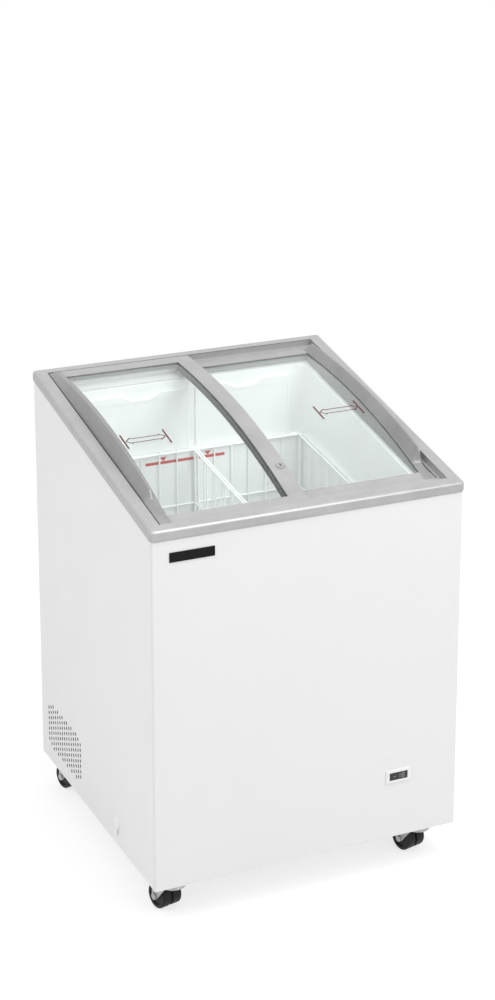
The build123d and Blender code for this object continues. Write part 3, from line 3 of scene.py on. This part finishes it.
import bmesh
import bpy
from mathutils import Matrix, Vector


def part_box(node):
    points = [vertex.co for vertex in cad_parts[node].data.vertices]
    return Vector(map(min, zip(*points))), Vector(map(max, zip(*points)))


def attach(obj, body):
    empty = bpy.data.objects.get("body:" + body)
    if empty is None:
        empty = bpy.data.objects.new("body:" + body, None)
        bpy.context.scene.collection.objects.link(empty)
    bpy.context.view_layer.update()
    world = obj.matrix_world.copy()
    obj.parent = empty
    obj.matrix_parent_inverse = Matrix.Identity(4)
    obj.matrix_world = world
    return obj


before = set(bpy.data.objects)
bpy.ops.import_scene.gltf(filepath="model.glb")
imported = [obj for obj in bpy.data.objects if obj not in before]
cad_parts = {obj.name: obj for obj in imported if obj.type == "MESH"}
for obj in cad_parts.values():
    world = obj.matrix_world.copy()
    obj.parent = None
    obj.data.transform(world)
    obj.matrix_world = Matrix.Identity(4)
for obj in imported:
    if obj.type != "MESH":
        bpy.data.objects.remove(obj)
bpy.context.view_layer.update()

# The cabinet's sloping top: x runs to the right, u up the slope from its middle, v square to it
SLOPE = math.radians(11.32)
FRONT_TOP = 0.781
HALF_DEPTH = 0.313
RIM_MID = FRONT_TOP + HALF_DEPTH * math.tan(SLOPE)

# The arch of the lids over the slope
ARCH_RISE = 0.0245
ARCH_APEX = 0.0255
ARCH_HALF = 0.275
ARCH_R = (ARCH_HALF**2 + ARCH_RISE**2) / (2 * ARCH_RISE)
GLASS_SET = 0.002  # glass below the top of its frame
LEVEL_DROP = 0.012  # right lid below the left one

# Prints and trims
CLEARANCE = 0.00005  # keeps a print's back off the face under it
INK_T = 0.00015
SHARP_ANGLE = 32  # degrees from which an edge of a CAD node stays sharp


def rim_point(x, u, v):
    """A point of the sloping top in the row frame."""
    y = u * math.cos(SLOPE) - v * math.sin(SLOPE)
    z = RIM_MID + u * math.sin(SLOPE) + v * math.cos(SLOPE)
    return Vector((x, y, z))


def arch(u):
    """Height of the left lid's top above the slope."""
    return ARCH_RISE - ARCH_R + math.sqrt(ARCH_R**2 - (u - ARCH_APEX) ** 2)


# Camera, from a fit of the photographed box corners

IMAGE_H = 1000
FOCUS_PX = 2146.2
CAMERA_AT = (-1.6260, -3.5915, 2.1589)
CAMERA_YAW = 24.522
CAMERA_PITCH = -14.618
SHIFT_Y = -0.22
SENSOR = 36.0
CLIP_END = 50


def make_camera():
    data = bpy.data.cameras.new("camera")
    data.sensor_width = SENSOR
    data.lens = FOCUS_PX / IMAGE_H * SENSOR
    data.shift_y = SHIFT_Y
    data.clip_end = CLIP_END
    camera = bpy.data.objects.new("camera", data)
    camera.location = CAMERA_AT
    camera.rotation_euler = (math.radians(90 + CAMERA_PITCH), 0, -math.radians(CAMERA_YAW))
    bpy.context.scene.collection.objects.link(camera)
    bpy.context.scene.camera = camera


# Nodes that the backdrop and the materials share


def peak_of(nt, first, second):
    """The larger of two sockets' values."""
    node = nt.nodes.new("ShaderNodeMath")
    node.operation = "MAXIMUM"
    nt.links.new(first, node.inputs[0])
    nt.links.new(second, node.inputs[1])
    return node.outputs[0]


def remap(nt, value, low, high, start=0.0, end=1.0):
    """Takes a value from start to end into a number from low to high."""
    node = nt.nodes.new("ShaderNodeMapRange")
    node.inputs["From Min"].default_value = start
    node.inputs["From Max"].default_value = end
    node.inputs["To Min"].default_value = low
    node.inputs["To Max"].default_value = high
    nt.links.new(value, node.inputs["Value"])
    return node.outputs["Result"]


def seen_rays(nt):
    """1 for rays that show the backdrop itself: from the camera, off a mirror or through glass."""
    path = nt.nodes.new("ShaderNodeLightPath")
    mirrored = peak_of(nt, path.outputs["Is Camera Ray"], path.outputs["Is Glossy Ray"])
    return peak_of(nt, mirrored, path.outputs["Is Transmission Ray"])


# Floor and light

WORLD_LIGHT = 0.80  # what the world gives the object
WORLD_SEEN = 1.0  # what it looks like behind the object
FLOOR_R = 2.6
FLOOR_SIDES = 96
FLOOR_BOUNCE = 0.75  # the floor's colour for the light that it throws back
FLOOR_SEEN = 0.34  # its colour as it is seen, which keeps the shadow
FLOOR_LIFT = 0.70  # what is added to that, up to white

LAMP_AIM = Vector((0, 0, 0.5))
# Each lamp's place, width, height, power, and whether polished surfaces mirror it
LAMPS = {
    "key": ((0.95, -2.1, 3.0), 1.0, 3.4, 60.0, True),
    "left": ((-2.4, -0.8, 2.9), 2.2, 2.2, 29.0, False),
    "top": ((0.0, -0.7, 3.4), 2.2, 1.2, 12.0, True),
    "rear": ((1.6, 3.2, 2.2), 2.4, 2.4, 8.0, False),
}


def make_world():
    bpy.context.scene.view_settings.view_transform = "Standard"
    world = bpy.data.worlds.new("studio")
    world.use_nodes = True
    bpy.context.scene.world = world
    nt = world.node_tree
    background = nt.nodes["Background"]
    background.inputs["Color"].default_value = (1, 1, 1, 1)
    level = remap(nt, seen_rays(nt), WORLD_LIGHT, WORLD_SEEN)
    nt.links.new(level, background.inputs["Strength"])


def make_lamps():
    """Large soft boxes round the object."""
    for name, (place, width, height, watts, mirrored) in LAMPS.items():
        data = bpy.data.lights.new(name, "AREA")
        data.shape = "RECTANGLE"
        data.size = width
        data.size_y = height
        data.energy = watts
        lamp = bpy.data.objects.new(name, data)
        lamp.location = place
        lamp.visible_glossy = mirrored
        lamp.visible_transmission = mirrored
        aim = LAMP_AIM - Vector(place)
        lamp.rotation_euler = aim.to_track_quat("-Z", "Y").to_euler()
        bpy.context.scene.collection.objects.link(lamp)


def floor_material():
    """Matt and pale, lifted to white where it is seen, with the object's shadow left on it."""
    material = bpy.data.materials.new("floor")
    material.use_nodes = True
    nt = material.node_tree
    nt.nodes.clear()
    out = nt.nodes.new("ShaderNodeOutputMaterial")
    matt = nt.nodes.new("ShaderNodeBsdfDiffuse")
    lift = nt.nodes.new("ShaderNodeEmission")
    both = nt.nodes.new("ShaderNodeAddShader")
    seen = seen_rays(nt)
    nt.links.new(remap(nt, seen, FLOOR_BOUNCE, FLOOR_SEEN), matt.inputs["Color"])
    nt.links.new(remap(nt, seen, 0.0, FLOOR_LIFT), lift.inputs["Strength"])
    nt.links.new(matt.outputs[0], both.inputs[0])
    nt.links.new(lift.outputs[0], both.inputs[1])
    nt.links.new(both.outputs[0], out.inputs["Surface"])
    return material


def make_floor():
    """A round floor, no larger than the lamps light up to white."""
    turns = [n * 2 * math.pi / FLOOR_SIDES for n in range(FLOOR_SIDES)]
    rim = [(FLOOR_R * math.cos(turn), FLOOR_R * math.sin(turn), 0) for turn in turns]
    mesh = bpy.data.meshes.new("floor")
    mesh.from_pydata(rim, [], [tuple(range(FLOOR_SIDES))])
    mesh.materials.append(floor_material())
    floor = bpy.data.objects.new("floor", mesh)
    bpy.context.scene.collection.objects.link(floor)


# Materials

NOISE_LOW = 0.3  # a noise pattern's values lie nearly all between these two
NOISE_HIGH = 0.7
HIGHLIGHT_START = 0.52  # pointiness from which an edge gets its painted highlight, and where it is full
HIGHLIGHT_FULL = 0.62
MIX_SHARE, MIX_FIRST, MIX_SECOND = 0, 6, 7  # sockets of a Mix node that mixes colours
MIX_RESULT = 2


class Surface:
    """A Principled material with named helpers for its patterns."""

    def __init__(self, name, plain=None):
        """plain holds the shader's values that are the same all over, by their sockets' names."""
        self.material = bpy.data.materials.new(name)
        self.material.use_nodes = True
        self.nt = self.material.node_tree
        self.shader = self.nt.nodes["Principled BSDF"]
        for socket, value in (plain or {}).items():
            self.shader.inputs[socket].default_value = value
        self.place = self.nt.nodes.new("ShaderNodeTexCoord").outputs["Object"]

    def stretched(self, scale):
        """The place on the object, scaled apart along its axes."""
        node = self.nt.nodes.new("ShaderNodeMapping")
        node.inputs["Scale"].default_value = scale
        self.nt.links.new(self.place, node.inputs["Vector"])
        return node.outputs["Vector"]

    def noise(self, scale, detail, stretch=None, rough=0.5):
        node = self.nt.nodes.new("ShaderNodeTexNoise")
        node.inputs["Scale"].default_value = scale
        node.inputs["Detail"].default_value = detail
        node.inputs["Roughness"].default_value = rough
        place = self.stretched(stretch) if stretch else self.place
        self.nt.links.new(place, node.inputs["Vector"])
        return node.outputs["Fac"]

    def ramp(self, value, low, high, start=0.35, end=0.65):
        """Turns a pattern into a colour between low and high."""
        node = self.nt.nodes.new("ShaderNodeValToRGB")
        first, last = node.color_ramp.elements
        first.position = start
        last.position = end
        first.color = (*low, 1)
        last.color = (*high, 1)
        self.nt.links.new(value, node.inputs["Fac"])
        return node.outputs["Color"]

    def span(self, value, low, high):
        """Turns a pattern into a number between low and high."""
        return remap(self.nt, value, low, high, NOISE_LOW, NOISE_HIGH)

    def blend(self, kind, share, first, second):
        """Mixes two colours. share, first and second are sockets or plain values."""
        node = self.nt.nodes.new("ShaderNodeMix")
        node.data_type = "RGBA"
        node.blend_type = kind
        for index, value in ((MIX_SHARE, share), (MIX_FIRST, first), (MIX_SECOND, second)):
            socket = node.inputs[index]
            if isinstance(value, (int, float)):
                socket.default_value = value
            elif isinstance(value, tuple):
                socket.default_value = (*value, 1)
            else:
                self.nt.links.new(value, socket)
        return node.outputs[MIX_RESULT]

    def edge_highlight(self, colour, highlight, amount):
        """Takes a colour towards a lighter one where the surface is strongly convex: a painted highlight on
        the edges.
        """
        convex = self.nt.nodes.new("ShaderNodeNewGeometry").outputs["Pointiness"]
        share = remap(self.nt, convex, 0.0, amount, HIGHLIGHT_START, HIGHLIGHT_FULL)
        return self.blend("MIX", share, colour, highlight)

    def colour(self, socket):
        self.nt.links.new(socket, self.shader.inputs["Base Color"])

    def roughness(self, socket):
        self.nt.links.new(socket, self.shader.inputs["Roughness"])

    def bump(self, height, depth):
        node = self.nt.nodes.new("ShaderNodeBump")
        node.inputs["Strength"].default_value = 1.0
        node.inputs["Distance"].default_value = depth
        self.nt.links.new(height, node.inputs["Height"])
        self.nt.links.new(node.outputs["Normal"], self.shader.inputs["Normal"])


def grey(level):
    return (level, level, level)


def painted_white(name, level):
    """Baked enamel on sheet steel, with a faint orange peel."""
    s = Surface(name, {"Coat Weight": 0.15, "Coat Roughness": 0.2})
    s.colour(s.ramp(s.noise(scale=3.0, detail=2.0), grey(level * 0.992), grey(level)))
    s.roughness(s.span(s.noise(scale=9.0, detail=3.0), 0.34, 0.44))
    s.bump(s.noise(scale=420.0, detail=2.0), depth=0.00004)
    return s.material


def satin_grey(name, low, high, rough=(0.38, 0.48)):
    """Moulded grey plastic with a satin, slightly mottled silver paint, and painted highlights on its convex
    edges.
    """
    s = Surface(name, {"Metallic": 0.3})
    streaks = s.noise(scale=14.0, detail=5.0, rough=0.6)
    cloud = s.ramp(s.noise(scale=60.0, detail=4.0), grey(0.88), grey(1.0))
    base = s.ramp(streaks, grey(low), grey(high), start=0.30, end=0.70)
    mottled = s.blend("MULTIPLY", 0.3, base, cloud)
    # Painted highlight: strongly convex edges are taken lighter.
    s.colour(s.edge_highlight(mottled, highlight=grey(min(1.0, high * 1.25)), amount=0.35))
    s.roughness(s.span(streaks, *rough))
    s.bump(s.noise(scale=500.0, detail=3.0), depth=0.00003)
    return s.material


def zinc_sheet(name, level):
    """Zinc-plated or galvanised steel with its spangle."""
    s = Surface(name, {"Metallic": 0.85})
    cells = s.nt.nodes.new("ShaderNodeTexVoronoi")
    cells.inputs["Scale"].default_value = 90.0
    s.nt.links.new(s.place, cells.inputs["Vector"])
    spangle = s.ramp(cells.outputs["Color"], grey(level * 0.85), grey(level * 1.1), start=0.2, end=0.8)
    grime = s.ramp(s.noise(scale=14.0, detail=5.0), grey(0.8), grey(1.0))
    s.colour(s.blend("MULTIPLY", 0.5, spangle, grime))
    s.roughness(s.span(s.noise(scale=40.0, detail=4.0), 0.28, 0.5))
    s.bump(s.noise(scale=260.0, detail=4.0), depth=0.00003)
    return s.material


def moulded(name, low, high, rough=(0.42, 0.55), grain=900.0, depth=0.00004, coat=0.0, shine=0.5):
    """Moulded plastic or rubber with a fine grain."""
    s = Surface(name, {"Coat Weight": coat, "Specular IOR Level": shine})
    s.colour(s.ramp(s.noise(scale=22.0, detail=4.0), low, high))
    s.roughness(s.span(s.noise(scale=60.0, detail=3.0), *rough))
    s.bump(s.noise(scale=grain, detail=3.0), depth)
    return s.material


def coated_wire(name):
    """White dipped wire with slightly uneven coating."""
    s = Surface(name, {"Coat Weight": 0.4, "Coat Roughness": 0.12})
    s.colour(s.ramp(s.noise(scale=50.0, detail=3.0), grey(0.95), grey(0.99)))
    s.roughness(s.span(s.noise(scale=90.0, detail=3.0), 0.25, 0.38))
    s.bump(s.noise(scale=220.0, detail=3.0), depth=0.00008)
    return s.material


def copper_tube(name):
    s = Surface(name, {"Metallic": 0.95})
    s.colour(s.ramp(s.noise(scale=30.0, detail=5.0), (0.46, 0.20, 0.11), (0.78, 0.42, 0.27)))
    s.roughness(s.span(s.noise(scale=50.0, detail=4.0), 0.22, 0.5))
    s.bump(s.noise(scale=300.0, detail=3.0), depth=0.00003)
    return s.material


def circuit_board(name):
    s = Surface(name)
    s.colour(s.ramp(s.noise(scale=300.0, detail=2.0), (0.01, 0.07, 0.03), (0.03, 0.16, 0.07)))
    s.roughness(s.span(s.noise(scale=120.0, detail=2.0), 0.3, 0.5))
    return s.material


def bright_plate(name, level=0.75):
    """Polished plating with faint wipe marks."""
    s = Surface(name, {"Metallic": 1.0})
    s.colour(s.ramp(s.noise(scale=60.0, detail=3.0), grey(level * 0.92), grey(level)))
    wipes = s.noise(scale=160.0, detail=4.0, stretch=(1.0, 8.0, 1.0))
    s.roughness(s.span(wipes, 0.08, 0.2))
    return s.material


def clear_glass(name):
    """Tempered glass with a faint green tint, which lets the lamps' light through."""
    s = Surface(name, {"Roughness": 0.0, "Transmission Weight": 1.0, "IOR": 1.45})
    tint = s.ramp(s.noise(scale=2.0, detail=2.0), (0.948, 0.995, 0.987), (0.955, 0.998, 0.991))
    s.colour(tint)
    s.roughness(s.span(s.noise(scale=6.0, detail=3.0), 0.0, 0.012))
    clear = s.nt.nodes.new("ShaderNodeBsdfTransparent")
    clear.inputs["Color"].default_value = (0.98, 1.0, 0.99, 1)
    path = s.nt.nodes.new("ShaderNodeLightPath")
    lit = peak_of(s.nt, path.outputs["Is Shadow Ray"], path.outputs["Is Diffuse Ray"])
    mix = s.nt.nodes.new("ShaderNodeMixShader")
    s.nt.links.new(lit, mix.inputs[0])
    s.nt.links.new(s.shader.outputs[0], mix.inputs[1])
    s.nt.links.new(clear.outputs[0], mix.inputs[2])
    s.nt.links.new(mix.outputs[0], s.nt.nodes["Material Output"].inputs["Surface"])
    return s.material


def ink(name, colour):
    """Screen-printed ink, a little uneven."""
    s = Surface(name)
    thin = tuple(part * 0.85 for part in colour)
    s.colour(s.ramp(s.noise(scale=400.0, detail=3.0), thin, colour))
    return s.material


# The finishes of the CAD nodes

# Each finish with the nodes that take it, by their names or a part of them. The first fit counts.
FINISH_NODES = {
    "front": ("front_panel",),
    "side": ("side_panel", "rear_panel"),
    "liner": ("liner",),
    "top_frame": ("top_frame",),
    "lid": ("_frame",),
    "handle": ("_handle",),
    "lock": ("lock_",),
    "glass": ("_glass",),
    "track": ("lower_track",),
    "wire": ("basket",),
    "badge": ("badge_plate",),
    "bezel": ("display_bezel",),
    "display": ("display_window",),
    "board": ("display_board",),
    "white_plastic": ("drain_", "_glides"),
    "black_plastic": ("compressor", "terminal_cover", "fan_motor", "fan_blade", "thermostat", "cord_gland"),
    "rubber": ("centre_seal",),
    "tread": ("_wheel",),
    "zinc": ("caster_plates", "_fork", "_axle", "evaporator_coil"),
    "bright": ("cover_screws", "caster_bolts"),
    "galvanised": ("rear_cover", "base_pan", "machine_partition", "fan_shroud"),
    "condenser": ("condenser",),
    "copper": ("filter_drier", "refrigerant_pipes"),
    "foam": ("insulation_foam",),
}


def make_finishes():
    """The material of each finish."""
    return {
        # The front and side panels are one enamel at two levels, lit and shaded copies: the front painted
        # darker and the sides lighter, for how the lamps fall on them.
        "front": painted_white("enamel_front_painted_darker", 0.69),
        "side": painted_white("enamel_side_painted_lighter", 0.74),
        "liner": painted_white("enamel_liner", 0.93),
        "top_frame": satin_grey("silver_frame", 0.37, 0.44, rough=(0.28, 0.38)),
        "lid": satin_grey("silver_lid", 0.31, 0.38),
        # The handles take the lids' silver painted darker: painted shade on the grips.
        "handle": satin_grey("silver_handle_painted_shade", 0.25, 0.30, rough=(0.34, 0.44)),
        "lock": satin_grey("lock_grey", 0.30, 0.38),
        "glass": clear_glass("lid_glass"),
        # The white track is greyed: painted shade of the frame over it.
        "track": moulded("track_greyed_painted_shade", grey(0.70), grey(0.75)),
        "wire": coated_wire("basket_wire"),
        "badge": moulded("badge_black", grey(0.005), grey(0.009), rough=(0.3, 0.4), shine=0.12),
        "bezel": moulded("bezel_grey", grey(0.70), grey(0.74), rough=(0.3, 0.4), coat=0.1),
        "display": moulded("display_glass", grey(0.03), grey(0.045), rough=(0.25, 0.32), shine=0.25),
        "board": circuit_board("board"),
        "white_plastic": moulded("white_plastic", grey(0.80), grey(0.86)),
        "black_plastic": moulded("black_plastic", grey(0.014), grey(0.03), grain=600.0),
        "rubber": moulded("seal_rubber", grey(0.02), grey(0.045), rough=(0.6, 0.75)),
        "tread": moulded(
            "wheel_nylon", grey(0.006), grey(0.014), rough=(0.4, 0.55), grain=300.0, depth=0.00008, shine=0.25
        ),
        "zinc": zinc_sheet("zinc_plate", 0.48),
        "bright": bright_plate("plated_steel"),
        "galvanised": zinc_sheet("galvanised", 0.55),
        # The condenser is made black: painted shade behind the vents.
        "condenser": moulded("condenser_painted_shade", grey(0.02), grey(0.05), rough=(0.5, 0.7)),
        "copper": copper_tube("copper"),
        "foam": moulded("foam", (0.75, 0.66, 0.40), (0.84, 0.75, 0.50), rough=(0.8, 0.95), depth=0.0004),
    }


def finish_of(node_name):
    for finish, parts in FINISH_NODES.items():
        if any(part in node_name for part in parts):
            return finish
    raise ValueError(f"no finish for {node_name}")


def paint(piece, material):
    piece.data.materials.clear()
    piece.data.materials.append(material)


def dress_nodes(finishes):
    """Gives each CAD node its finish, and shades its curved faces smooth."""
    for name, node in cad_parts.items():
        paint(node, finishes[finish_of(name)])
        for polygon in node.data.polygons:
            polygon.use_smooth = True
        node.data.set_sharp_from_angle(angle=math.radians(SHARP_ANGLE))


# Meshes of the prints and trims


def rectangle(a0, b0, a1, b1):
    return [(a0, b0), (a1, b0), (a1, b1), (a0, b1)]


def stroke(start, end, width):
    """A thin rectangle from start to end in the plane."""
    start, end = Vector(start), Vector(end)
    along = (end - start).normalized()
    side = Vector((-along.y, along.x)) * width / 2
    return [tuple(corner) for corner in (start - side, end - side, end + side, start + side)]


def band(bm, near, far):
    """Faces between two rings of as many points."""
    for i in range(len(near)):
        j = (i + 1) % len(near)
        bm.faces.new((near[i], near[j], far[j], far[i]))


def add_piece(name, bm, material):
    """Ends the mesh and puts it in the scene as a piece of one material."""
    bmesh.ops.recalc_face_normals(bm, faces=bm.faces)
    mesh = bpy.data.meshes.new(name)
    bm.to_mesh(mesh)
    bm.free()
    piece = bpy.data.objects.new(name, mesh)
    bpy.context.scene.collection.objects.link(piece)
    paint(piece, material)
    return piece


def add_plate(name, outlines, place, thick, material):
    """Flat polygons in a plane, laid on a surface by place(a, b, lift) and given a thickness."""
    bm = bmesh.new()
    for outline in outlines:
        low = [bm.verts.new(place(a, b, 0.0)) for a, b in outline]
        high = [bm.verts.new(place(a, b, thick)) for a, b in outline]
        bm.faces.new(high)
        bm.faces.new(list(reversed(low)))
        band(bm, low, high)
    return add_piece(name, bm, material)


# The arrows on the glass

SHAFT_H = 0.0068  # half the height of an arrow's shaft
BARB_H = 0.0098  # half the height of its heads
ARROW_HEAD = 0.0105
ARROW_LINE = 0.0021
END_BAR = 0.0245  # half the length of an end bar
END_LINE = 0.0034
ARROW_INK = (0.10, 0.012, 0.010)
# Each arrow's left end, right end and place up the slope, and how far its lid is lowered
ARROWS = {
    "left": (-0.2595, -0.1735, -0.0390, 0.0),
    "right": (0.1570, 0.2450, -0.0160, LEVEL_DROP),
}


def arrow_strokes(x0, x1, u):
    """An open arrow with two heads between two end bars."""
    left, right = x0 + END_LINE, x1 - END_LINE
    strokes = [stroke((x, u - END_BAR), (x, u + END_BAR), END_LINE) for x in (x0, x1)]
    for sign in (-1, 1):
        level = u + sign * SHAFT_H
        strokes.append(stroke((left + ARROW_HEAD, level), (right - ARROW_HEAD, level), ARROW_LINE))
        for tip, way in ((left, 1), (right, -1)):
            barb = (tip + way * ARROW_HEAD, u + sign * BARB_H)
            notch = (tip + way * ARROW_HEAD, level)
            strokes.append(stroke((tip, u), barb, ARROW_LINE))
            strokes.append(stroke(barb, notch, ARROW_LINE))
    return strokes


def on_glass(lowered):
    """Lays a print on the glass of a lid that is lowered this far."""

    def place(x, u, lift):
        return rim_point(x, u, arch(u) - GLASS_SET - lowered + CLEARANCE + lift)

    return place


def make_arrows():
    brown = ink("arrow_ink", ARROW_INK)
    for side, (x0, x1, u, lowered) in ARROWS.items():
        arrow = add_plate(f"lid_{side}_arrow", arrow_strokes(x0, x1, u), on_glass(lowered), INK_T, brown)
        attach(arrow, f"lid_{side}")


# Dark strips on the overlap stiles

STILE_X = -0.026  # left face of both stiles
STRIP_PROUD = 0.0012
STRIP_CHAMFER = 0.0003
STRIP_U = (-0.272, 0.262)
STRIP_STEPS = 60
# Each strip's upper and lower edge, below the arch
STRIP_BANDS = {"lid_left": (0.0062, 0.0098), "lid_right": (0.0125, 0.0215)}


def make_stile_dark_strips(rubber):
    """Black strips on the left faces of the overlap stiles, under the upper glass, which make that band dark.
    """
    low_u, high_u = STRIP_U
    near, far = STILE_X - STRIP_PROUD, STILE_X - CLEARANCE
    for rider, (top, bottom) in STRIP_BANDS.items():
        corners = ((far, top), (near, top + STRIP_CHAMFER), (near, bottom - STRIP_CHAMFER), (far, bottom))
        bm = bmesh.new()
        rows = []
        for n in range(STRIP_STEPS + 1):
            u = low_u + (high_u - low_u) * n / STRIP_STEPS
            rows.append([bm.verts.new(rim_point(x, u, arch(u) - down)) for x, down in corners])
        for row, following in zip(rows, rows[1:]):
            band(bm, row, following)
        bm.faces.new(list(reversed(rows[0])))
        bm.faces.new(rows[-1])
        strip = add_piece(f"{rider}_stile_dark_strip", bm, rubber)
        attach(strip, rider)


# A painted shadow line round the lids' opening

TRACK_X = 0.291  # inner edges of the rim's top face
TRACK_REAR = 0.2958
TRACK_FRONT = -0.2978
SHADOW_STRIP_W = 0.0012
SHADOW_STRIP_T = 0.0003


def make_rim_shadow_strip(rubber):
    """A thin dark strip round the left and rear edges of the opening: a painted shadow line in the groove."""
    left, rear = -TRACK_X - SHADOW_STRIP_W, TRACK_REAR + SHADOW_STRIP_W
    outlines = [
        rectangle(left, TRACK_FRONT, -TRACK_X, rear),
        rectangle(-TRACK_X, TRACK_REAR, TRACK_X, rear),
    ]
    shadow_strip = add_plate("rim_painted_shadow", outlines, rim_point, SHADOW_STRIP_T, rubber)
    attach(shadow_strip, "cabinet")


# Painted shade in the lock's key slot

LOCK_X = -0.004
LOCK_U = -0.1836
CORE_PROUD = 0.0019  # face of the lock's core above the stile
SLOT_SHADE = (0.0028, 0.0072)


def make_key_slot_shade(rubber):
    """A dark plate over the key slot, on the core's face: painted shade that makes the slot look deep."""
    lean = math.asin((ARCH_APEX - LOCK_U) / ARCH_R)
    half_x, half_u = SLOT_SHADE[0] / 2, SLOT_SHADE[1] / 2

    def on_core(a, b, lift):
        rise = CORE_PROUD + lift
        u = LOCK_U + b * math.cos(lean) - rise * math.sin(lean)
        v = arch(LOCK_U) + b * math.sin(lean) + rise * math.cos(lean)
        return rim_point(LOCK_X + a, u, v)

    outline = rectangle(-half_x, -half_u, half_x, half_u)
    slot_shade = add_plate("key_slot_painted_shade", [outline], on_core, INK_T, rubber)
    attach(slot_shade, "lock")


# The load line on the liner

LINER_REAR = 0.232  # inner face of the liner's rear wall
WALL_LIFT = 0.0001
LOAD_Z = 0.699
LOAD_LINE_H = 0.0060
LOAD_SPAN = (-0.109, 0.066)
LOAD_POINTERS = (-0.070, 0.028)
POINTER_HALF = 0.0075  # half of a pointer's width
POINTER_TOP = 0.0115  # its upper edge above the line's middle
LOAD_INK = (0.62, 0.035, 0.03)


def make_load_line():
    """A red line with two pointers on the liner's rear wall, seen behind the baskets' wires."""
    half = LOAD_LINE_H / 2
    outlines = [rectangle(LOAD_SPAN[0], -half, LOAD_SPAN[1], half)]
    for x in LOAD_POINTERS:
        outlines.append([(x - POINTER_HALF, POINTER_TOP), (x, half), (x + POINTER_HALF, POINTER_TOP)])

    def on_wall(a, b, lift):
        return Vector((a, LINER_REAR - WALL_LIFT - lift, LOAD_Z + b))

    line = add_plate("load_line", outlines, on_wall, INK_T, ink("load_line_ink", LOAD_INK))
    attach(line, "cabinet")


# The display's digits

READING = "-18"
# Ends of each segment in a digit of width 1 and height 1, and the segments that each sign lights
SEGMENTS = {
    "a": ((0, 1), (1, 1)), "b": ((1, 0.5), (1, 1)), "c": ((1, 0), (1, 0.5)), "d": ((0, 0), (1, 0)),
    "e": ((0, 0), (0, 0.5)), "f": ((0, 0.5), (0, 1)), "g": ((0, 0.5), (1, 0.5)),
}
SIGNS = {"-": "g", "1": "bc", "8": "abcdefg"}
DIGIT_W = 0.0052
DIGIT_H = 0.0092
DIGIT_PITCH = DIGIT_W * 1.75
DIGIT_START = DIGIT_PITCH * 1.25  # from the window's middle to the first sign
DIGIT_LINE = 0.0011
DIGIT_GAP = 0.0005
DIGIT_INK = (0.30, 0.31, 0.30)


def make_digits():
    """The temperature in seven-segment digits on the display's window."""
    low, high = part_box("display_window")
    origin_x = (low.x + high.x) / 2 - DIGIT_START
    origin_z = (low.z + high.z) / 2 - DIGIT_H / 2
    outlines = []
    for n, sign in enumerate(READING):
        for segment in SIGNS[sign]:
            (ax, az), (bx, bz) = SEGMENTS[segment]
            gap = Vector((bx - ax, bz - az)).normalized() * DIGIT_GAP
            left = origin_x + n * DIGIT_PITCH
            start = Vector((left + ax * DIGIT_W, origin_z + az * DIGIT_H)) + gap
            end = Vector((left + bx * DIGIT_W, origin_z + bz * DIGIT_H)) - gap
            outlines.append(stroke(start, end, DIGIT_LINE))

    def on_window(a, b, lift):
        return Vector((a, low.y - CLEARANCE - lift, b))

    digits = add_plate("display_digits", outlines, on_window, INK_T / 2, ink("lcd_ink", DIGIT_INK))
    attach(digits, "cabinet")


make_camera()
make_world()
make_lamps()
make_floor()
FINISHES = make_finishes()
dress_nodes(FINISHES)
make_arrows()
make_stile_dark_strips(FINISHES["rubber"])
# A dark strip that paints the shadow line in the groove round the opening.
make_rim_shadow_strip(FINISHES["rubber"])
# A dark plate that paints the shade in the key slot.
make_key_slot_shade(FINISHES["rubber"])
make_load_line()
make_digits()
